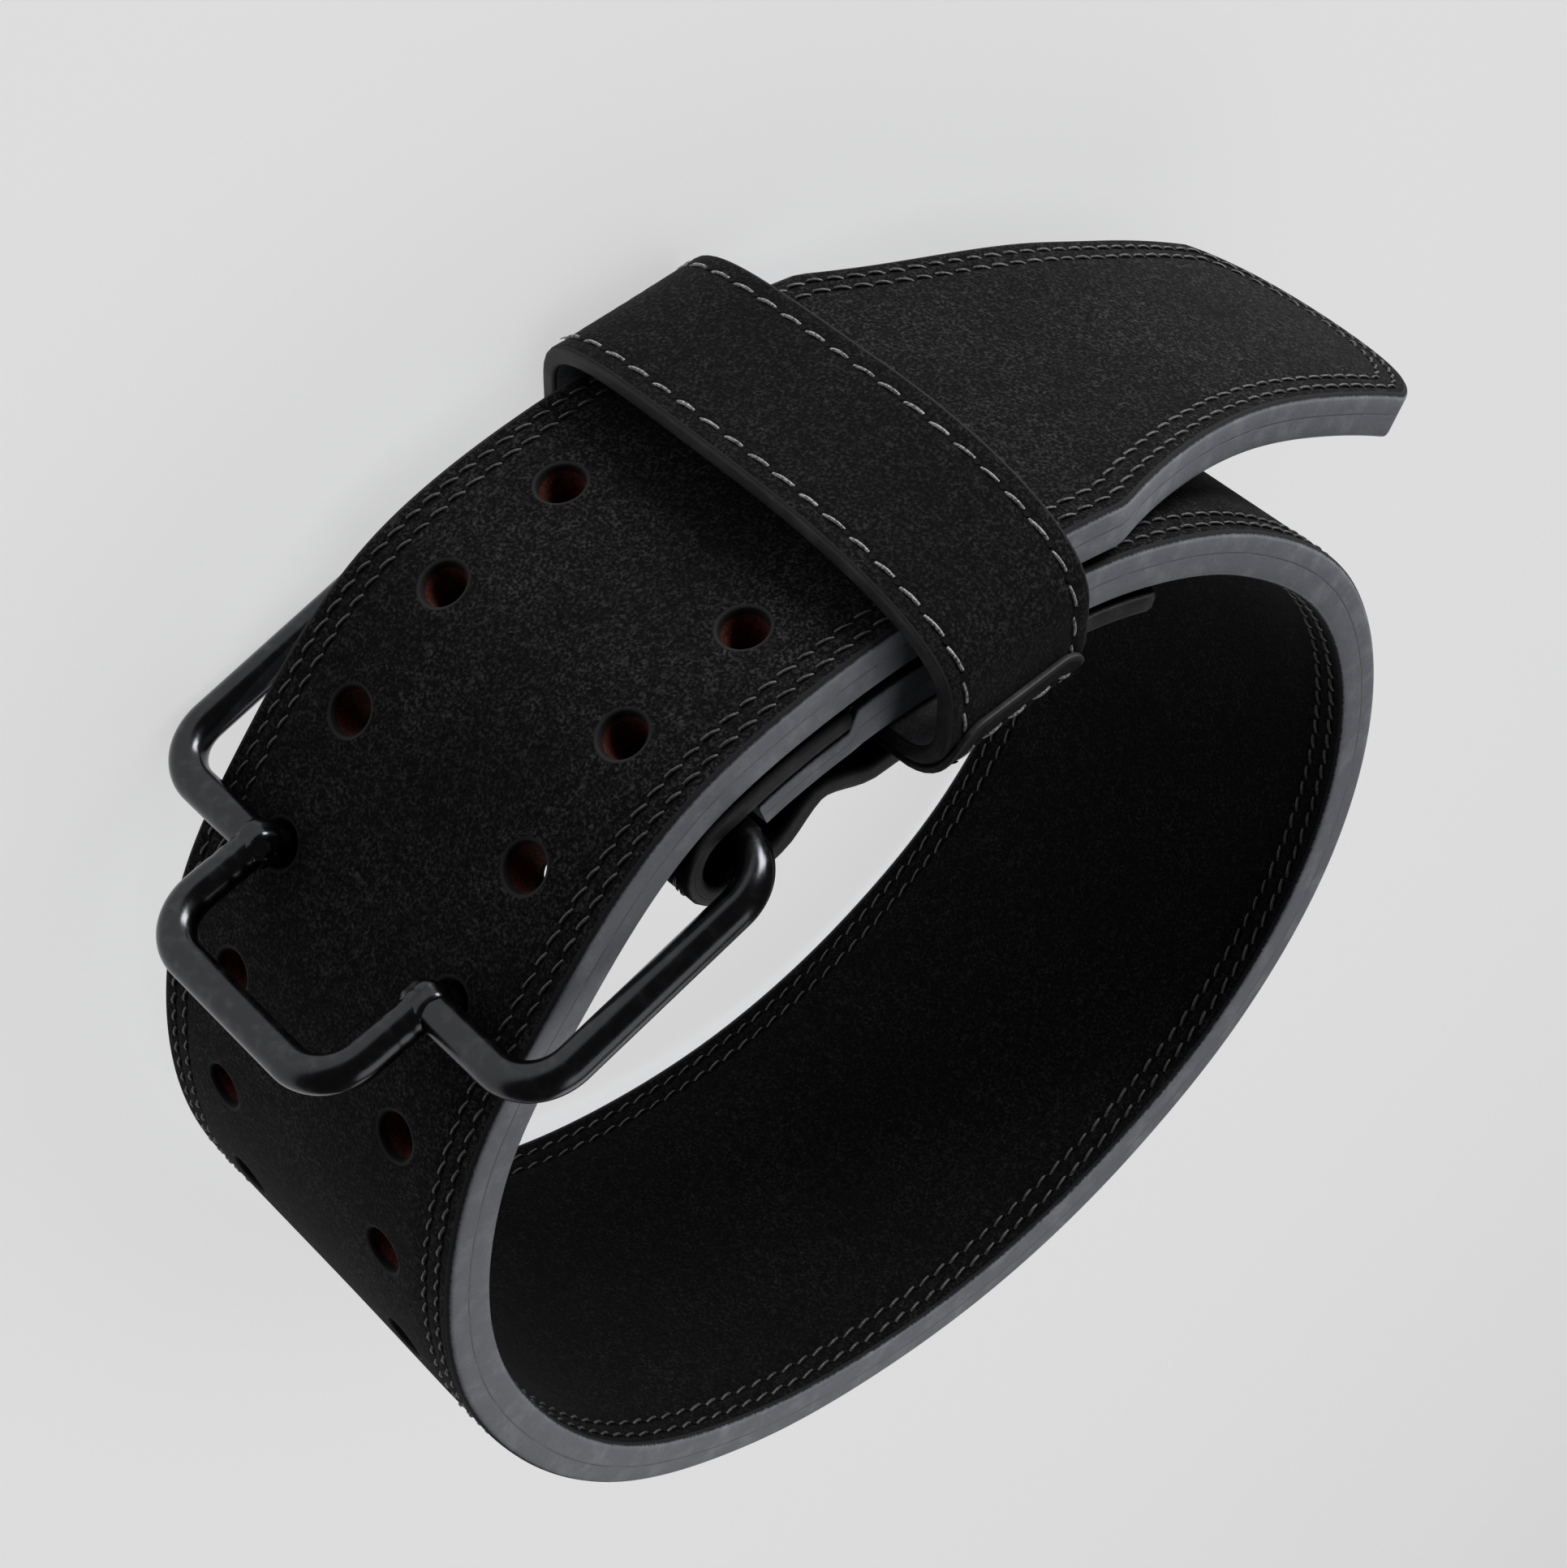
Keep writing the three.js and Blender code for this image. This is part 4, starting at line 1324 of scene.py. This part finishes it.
@dataclass
class KeeperLoop:
    """The leather loop that the tongue is tucked through, lapped on the inner side.

    Its sections are drawn with X across the strap and Y inward from the tongue's face.
    """

    shop: Workshop
    plan: BeltPlan
    edges: tuple[KeeperEdge, KeeperEdge] = (KeeperEdge(52.9, 62.6, 7.1),
                                            KeeperEdge(55.6, 58.0, 10.7))
    thickness: float = 4.0
    shoulder: float = 8.5
    lower_bulge: float = 4.76
    upper_bulge: float = 2.22
    spread: float = 1.5
    lower_corner: float = 4.0
    upper_corner: float = 9.0
    seat_gap: float = 0.4
    overlap: float = 1.6
    overlap_from: float = 25.0
    climb: float = 13.0
    lap_gap: float = 0.1
    lap_spare: float = 12.0
    seam: float = 4.7

    def quarter(self, reach: float, rise: float, bulge: float) -> np.ndarray:
        """Return a quarter of the crown, from its widest place to its top."""
        turn = np.linspace(0.0, math.pi / 2, 70)
        across, over = np.cos(turn), np.sin(turn)
        size = (across ** bulge + over ** bulge) ** (1.0 / bulge)
        return np.stack([reach * across / size, self.shoulder - rise * over / size], -1)

    def section(self, edge: KeeperEdge) -> PlanLine:
        """Return the band's middle line at one edge, its lapped end included."""
        half = self.thickness / 2
        run = self.plan.keeper_seat()[0] + self.seat_gap + half
        over = self.overlap + self.lap_gap
        turn = np.linspace(0.0, math.pi / 2, 20)[:, None]
        lower_edge = edge.lower + half + self.spread
        upper_edge = edge.upper + half
        lower_round = self.lower_corner + half
        upper_round = self.upper_corner + half
        ends = np.array([upper_edge - upper_round, run - upper_round])
        upper_bend = np.hstack([np.sin(turn), np.cos(turn)])
        lower_bend = np.hstack([-np.cos(turn), np.sin(turn)])
        start = np.linspace(1.0 - self.overlap_from, ends[0], 90)[:-1]
        bottom = np.linspace(lower_round - lower_edge, -self.overlap_from, 50)[1:]
        rising = np.linspace(-self.overlap_from, ends[0], 90)[1:-1]
        lift = over * ease((bottom + self.overlap_from + self.climb) / self.climb)
        rise = edge.crown + half + self.shoulder
        upper_crown = self.quarter(upper_edge, rise, self.upper_bulge)
        lower_crown = self.quarter(lower_edge - self.spread, rise, self.lower_bulge)
        crown = np.concatenate([upper_crown, lower_crown[-2::-1] * [-1, 1]])
        return PlanLine(np.concatenate([
            np.stack([start, np.full_like(start, run)], -1),
            ends + upper_bend * upper_round,
            crown,
            np.array([lower_round - lower_edge, run - lower_round]) + lower_bend * lower_round,
            np.stack([bottom, run + lift], -1),
            np.stack([rising, np.full_like(rising, run + over)], -1),
            ends + upper_bend * (upper_round + over),
        ]))

    def build(self) -> None:
        """Make the band and sew its rows."""
        lines = [self.section(edge) for edge in self.edges]
        total = (lines[0].total + lines[1].total) / 2
        point, along = self.plan.face.at(np.array(self.plan.keeper))
        axes = np.array([[0.0, 0.0, 1.0], [along[1], -along[0], 0.0], [along[0], along[1], 0.0]])
        origin = np.array([point[0], point[1], self.plan.loop.width / 2])
        half = self.thickness / 2
        band = self.plan.keeper_band

        def bend(length: np.ndarray, width: np.ndarray, depth: np.ndarray) -> np.ndarray:
            """Bend the flat band round the strap, between its two edges' sections."""
            place = np.zeros_like(width)
            from_edge, to_edge = (line.place(length / total * line.total, place, depth - half)
                                  for line in lines)
            share = (width / band)[:, None]
            bent = from_edge * (1.0 - share) + to_edge * share
            bent[:, 2] = width - band / 2
            return bent @ axes + origin

        outline = rounded_strip(total, band, (1.0, 9.0), 2.2)
        pattern = LeatherPattern(outline, self.thickness, edge_round=0.9, cell=2.2,
                                 rows=(self.seam,), groove=0.28, groove_width=0.8, wall_steps=2,
                                 surface_depth=self.skived(total))
        mesh = pattern.mesh("keeper", bend, self.shop.belt.to_row)
        finishes = self.shop.finishes
        # Painted shade: the keeper takes the darker copy of the suede, and its edges take the edge
        # paint painted near-black.
        for material in (finishes.keeper_suede, finishes.dark_edge, finishes.core, finishes.flesh):
            mesh.materials.append(material)
        self.shop.dress(new_object("keeper_leather", mesh), "keeper_suede", "keeper_loop")
        runs = pattern.row(self.seam, 0.15, lambda flat: flat[:, 0] > 3.0)
        stitching = Stitching(pitch=7.3, length=5.0, radius=0.4, rise=0.26, slant=-8.0, pit=0.75)
        sewn = stitching.sew("keeper_seam", self.shop.stitches, self.shop.belt, bend, runs, 0,
                             finishes.keeper_thread, finishes.pit, 31)
        self.shop.dress(sewn, "keeper_suede")

    def skived(self, total: float) -> Callable[[np.ndarray, np.ndarray, int], np.ndarray]:
        """Return how deep the faces lie, with the lapped end pared thin from the inner face."""
        lapped = self.edges[0].upper + self.overlap_from + self.lap_spare + self.climb

        def depth(length: np.ndarray, width: np.ndarray, side: int) -> np.ndarray:
            """Pare the inner face along the lap."""
            thin = (self.thickness - self.overlap) * ease((length - total + lapped) / self.climb)
            return thin if side == 1 else np.zeros_like(length)

        return depth


@dataclass
class WireBuckle:
    """The double-prong buckle: a bent frame and a finger pull whose ends are the prongs."""

    shop: Workshop
    plan: BeltPlan
    sides: int = 28
    step: float = 0.6
    weld_radius: float = 4.9
    tip_round: float = 2.2
    tool_marks: tuple[float, ...] = (20.0, 23.0, 26.5)
    mark_width: float = 0.7
    mark_depth: float = 0.035

    def corner_path(self, corners: list[tuple[np.ndarray, float]]) -> np.ndarray:
        """Round the corners of a path.

        Args:
            corners: The corner points and their bend radii, which the two ends don't use.

        Returns:
            Closely spaced points along the rounded path.
        """
        points = [corners[0][0]]
        for (before, _), (point, radius), (after, _) in zip(corners, corners[1:], corners[2:]):
            back = (before - point) / np.linalg.norm(before - point)
            ahead = (after - point) / np.linalg.norm(after - point)
            half = math.acos(float(np.clip(back @ ahead, -1.0, 1.0))) / 2
            middle = (back + ahead) / np.linalg.norm(back + ahead)
            centre = point + middle * radius / math.sin(half)
            start = point + back * radius / math.tan(half) - centre
            end = point + ahead * radius / math.tan(half) - centre
            sweep = math.pi - 2 * half
            for share in np.linspace(0.0, 1.0, max(4, round(radius * sweep / self.step))):
                blend = math.sin((1 - share) * sweep) * start + math.sin(share * sweep) * end
                points.append(centre + blend / math.sin(sweep))
        points.append(corners[-1][0])
        dense = [points[0][None]]
        for low, high in zip(points, points[1:]):
            count = max(1, round(float(np.linalg.norm(high - low)) / self.step))
            dense.append(low + (high - low) * np.linspace(0.0, 1.0, count + 1)[1:, None])
        return np.concatenate(dense)

    def tube(self, name: str, path: np.ndarray, swell: np.ndarray) -> bpy.types.Object:
        """Draw wire along a path.

        Args:
            name: The piece's name.
            path: Points in the belt's frame.
            swell: The share of the full radius at each point.

        Returns:
            The wire.
        """
        mesh = path_mesh(name + "_line", [self.shop.belt.to_row(path)], swell=swell)
        return self.shop.wires.run(name, mesh, Radius=self.plan.buckle.wire / 2 * MM,
                                   Sides=self.sides, Steel=self.shop.finishes.steel)

    def frame_path(self) -> np.ndarray:
        """Return the frame's middle line, from one half of the split front bar to the other."""
        sizes = self.plan.buckle
        middle = self.plan.loop.width / 2
        reach = middle + sizes.side_gap + sizes.wire / 2
        stub = self.plan.hole_spacing / 2
        rise = np.array([0.0, 0.0, 1.0])
        front = self.plan.front + rise * middle
        heel = self.plan.heel + rise * middle
        corners = [(front + rise * stub, 0.0), (front + rise * reach, sizes.bend),
                   (heel + rise * reach, sizes.bend), (heel - rise * reach, sizes.bend),
                   (front - rise * reach, sizes.bend), (front - rise * stub, 0.0)]
        return self.corner_path(corners)

    def pull_path(self) -> np.ndarray:
        """Return the middle line of the prongs and the finger pull."""
        sizes = self.plan.buckle
        rise = np.array([0.0, 0.0, 1.0])
        middle = rise * self.plan.loop.width / 2
        half = rise * self.plan.hole_spacing / 2
        along = self.plan.front - self.plan.heel
        along = along / np.linalg.norm(along)
        lift = math.radians(-sizes.pull_lift)
        turned = np.array([along[0] * math.cos(lift) - along[1] * math.sin(lift),
                           along[0] * math.sin(lift) + along[1] * math.cos(lift), 0.0])
        front = self.plan.front + middle
        pull = front + turned * sizes.pull
        prong = self.plan.place(self.plan.in_use, 0.0, sizes.prong) + middle
        corners = [(prong + half, 0.0), (front + half, sizes.prong_bend), (pull + half, sizes.bend),
                   (pull - half, sizes.bend), (front - half, sizes.prong_bend), (prong - half, 0.0)]
        return self.corner_path(corners)

    def bead(self, name: str, side: float) -> bpy.types.Object:
        """Make one rough weld bead where the frame's end meets the prong's bend."""
        rise = np.array([0.0, 0.0, self.plan.loop.width / 2 + side * self.plan.hole_spacing / 2])
        centre = self.plan.front + rise
        columns = 28
        rows = 16
        tall = 1.05
        points = []
        for i in range(1, rows):
            polar = math.pi * i / rows
            for k in range(columns):
                turn = math.tau * k / columns
                ripple = 0.05 * math.sin(9.0 * polar + 2.0 * math.sin(turn))
                ripple += 0.03 * math.sin(5.0 * turn + side)
                radius = self.weld_radius * (1.0 + ripple)
                points.append((radius * math.sin(polar) * math.cos(turn),
                               radius * math.sin(polar) * math.sin(turn),
                               radius * math.cos(polar) * tall))
        points += [(0.0, 0.0, self.weld_radius * tall), (0.0, 0.0, -self.weld_radius * tall)]
        top = len(points) - 2
        faces = []
        for i in range(rows - 2):
            for k in range(columns):
                a, b = i * columns + k, i * columns + (k + 1) % columns
                faces.append((a, a + columns, b + columns, b))
        last = (rows - 2) * columns
        faces += [(top, k, (k + 1) % columns) for k in range(columns)]
        faces += [(top + 1, last + (k + 1) % columns, last + k) for k in range(columns)]
        mesh = bpy.data.meshes.new(name)
        mesh.from_pydata(self.shop.belt.to_row(np.array(points) + centre).tolist(), [], faces)
        mesh.polygons.foreach_set("use_smooth", [True] * len(mesh.polygons))
        mesh.materials.append(self.shop.finishes.steel)
        return new_object(name, mesh)

    def build(self) -> None:
        """Bend, mark and weld the wires."""
        frame_line = self.frame_path()
        frame_wire = self.tube("buckle_wire", frame_line, np.ones(len(frame_line)))
        pull_line = self.pull_path()
        steps = np.linalg.norm(np.diff(pull_line, axis=0), axis=1)
        lengths = np.concatenate([[0.0], np.cumsum(steps)])
        tip = np.minimum(lengths, lengths[-1] - lengths)
        swell = 0.55 + 0.45 * np.sqrt(np.clip(tip / self.tip_round, 0.0, 1.0))
        marks = sum(bump(tip, place, self.mark_width) for place in self.tool_marks)
        pull_wire = self.tube("pull_wire", pull_line, swell - self.mark_depth * marks)
        others = [pull_wire, self.bead("weld_upper", 1.0), self.bead("weld_lower", -1.0)]
        joined = fuse(frame_wire, others)
        self.shop.dress(joined, "black_steel", "buckle_frame")


def fuse(first: bpy.types.Object, others: list[bpy.types.Object]) -> bpy.types.Object:
    """Join closed pieces into one skin.

    Args:
        first: The piece that the others are joined to, whose name stays.
        others: The other pieces, which are used up.

    Returns:
        The joined piece.
    """
    for other in others:
        modifier = first.modifiers.new("join", "BOOLEAN")
        modifier.operation = "UNION"
        modifier.solver = "EXACT"
        modifier.object = other
    graph = bpy.context.evaluated_depsgraph_get()
    made = bpy.data.meshes.new_from_object(first.evaluated_get(graph))
    name = first.name
    for used in [first, *others]:
        bpy.data.objects.remove(used)
    made.polygons.foreach_set("use_smooth", [True] * len(made.polygons))
    made.set_sharp_from_angle(angle=math.radians(42.0))
    return new_object(name, made)


@dataclass
class Studio:
    """The pale floor, the soft lights and the camera."""

    belt: BeltFrame
    camera_place: tuple[float, float, float] = (-15.0, -640.08, 444.93)
    camera_right: tuple[float, float, float] = (-0.6345, 0.4186, 0.6498)
    camera_up: tuple[float, float, float] = (-0.7729, -0.3436, -0.5334)
    focal_pixels: float = 4189.7
    photo_height: float = 1932.0
    sensor: float = 36.0
    light_reach: float = 2.0
    floor_half: float = 3.0
    air: tuple[float, float, float, float] = (0.97, 0.98, 1.0, 1.0)
    air_level: float = 0.055

    def camera(self) -> None:
        """Stand the camera where the photograph was taken from."""
        data = bpy.data.cameras.new("photo_camera")
        data.sensor_fit = "VERTICAL"
        data.sensor_height = self.sensor
        data.lens = self.focal_pixels * self.sensor / self.photo_height
        data.clip_start = 0.01
        data.clip_end = 50.0
        thing = bpy.data.objects.new("photo_camera", data)
        bpy.context.scene.collection.objects.link(thing)
        right = Vector(self.camera_right).normalized()
        up = Vector(self.camera_up)
        up = (up - right * up.dot(right)).normalized()
        axes = Matrix((right, up, right.cross(up))).transposed()
        turn = self.belt.turn @ axes
        place = Vector(self.belt.to_row(np.array([self.camera_place]))[0])
        thing.matrix_world = Matrix.Translation(place) @ turn.to_4x4()
        bpy.context.scene.camera = thing

    def light(self, name: str, way: tuple[float, float, float], size: float,
              level: float) -> bpy.types.Object:
        """Hang one square soft light that faces the belt.

        Args:
            name: The light's name.
            way: The way to it from the belt.
            size: The side of its square, in metres.
            level: How brightly it lights a white wall that faces it, where 1 is white.

        Returns:
            The light.
        """
        data = bpy.data.lights.new(name, "AREA")
        data.size = size
        data.energy = level * (math.pi * self.light_reach) ** 2
        thing = bpy.data.objects.new(name, data)
        thing.location = Vector(way).normalized() * self.light_reach
        thing.rotation_euler = Vector(way).to_track_quat("Z", "Y").to_euler()
        bpy.context.scene.collection.objects.link(thing)
        return thing

    def only(self, thing: bpy.types.Object, state: str) -> bpy.types.Collection:
        """Return a collection that includes or excludes one thing for a light."""
        group = bpy.data.collections.new("light_group")
        group.objects.link(thing)
        group.collection_objects[0].light_linking.link_state = state
        return group

    def floor(self) -> bpy.types.Object:
        """Lay the pale floor."""
        half = self.floor_half
        corners = [(-half, -half, 0.0), (half, -half, 0.0), (half, half, 0.0), (-half, half, 0.0)]
        mesh = bpy.data.meshes.new("floor")
        mesh.from_pydata(corners, [], [(0, 1, 2, 3)])
        mesh.materials.append(PlainFinish("studio_floor", (0.8, 0.8, 0.8), 0.9, 400.0, 0.01).make())
        thing = new_object("floor", mesh)
        return thing

    def build(self) -> None:
        """Set the stage."""
        scene = bpy.context.scene
        scene.view_settings.view_transform = "Standard"
        world = bpy.data.worlds.new("studio")
        world.use_nodes = True
        background = world.node_tree.nodes["Background"]
        background.inputs["Color"].default_value = self.air
        background.inputs["Strength"].default_value = self.air_level
        scene.world = world
        floor = self.floor()
        table = self.light("floor_light", (0.0, 0.0, 1.0), 3.5, 1.73)
        table.light_linking.receiver_collection = self.only(floor, "INCLUDE")
        table.light_linking.blocker_collection = self.only(floor, "INCLUDE")
        for name, way, size, level in (("top_light", (0.15, 0.3, 1.0), 1.2, 0.15),
                                       ("key_light", (-0.97, -0.24, 0.1), 1.1, 1.42),
                                       ("rim_light", (0.4, 1.0, 0.5), 1.0, 0.13)):
            lamp = self.light(name, way, size, level)
            lamp.light_linking.receiver_collection = self.only(floor, "EXCLUDE")
        self.camera()


def main() -> None:
    """Build the belt piece by piece."""
    logging.basicConfig(level=logging.INFO, format="%(message)s")
    belt = BeltFrame.from_record(frame["record"])
    Studio(belt).build()
    shop = Workshop(belt, Finishes.make(), stitch_sheet(), wire_sheet())
    plan = BeltPlan()
    for assembly in (BeltStrap, BuckleTab, KeeperLoop, WireBuckle):
        assembly(shop, plan).build()


if __name__ == "__main__":
    main()
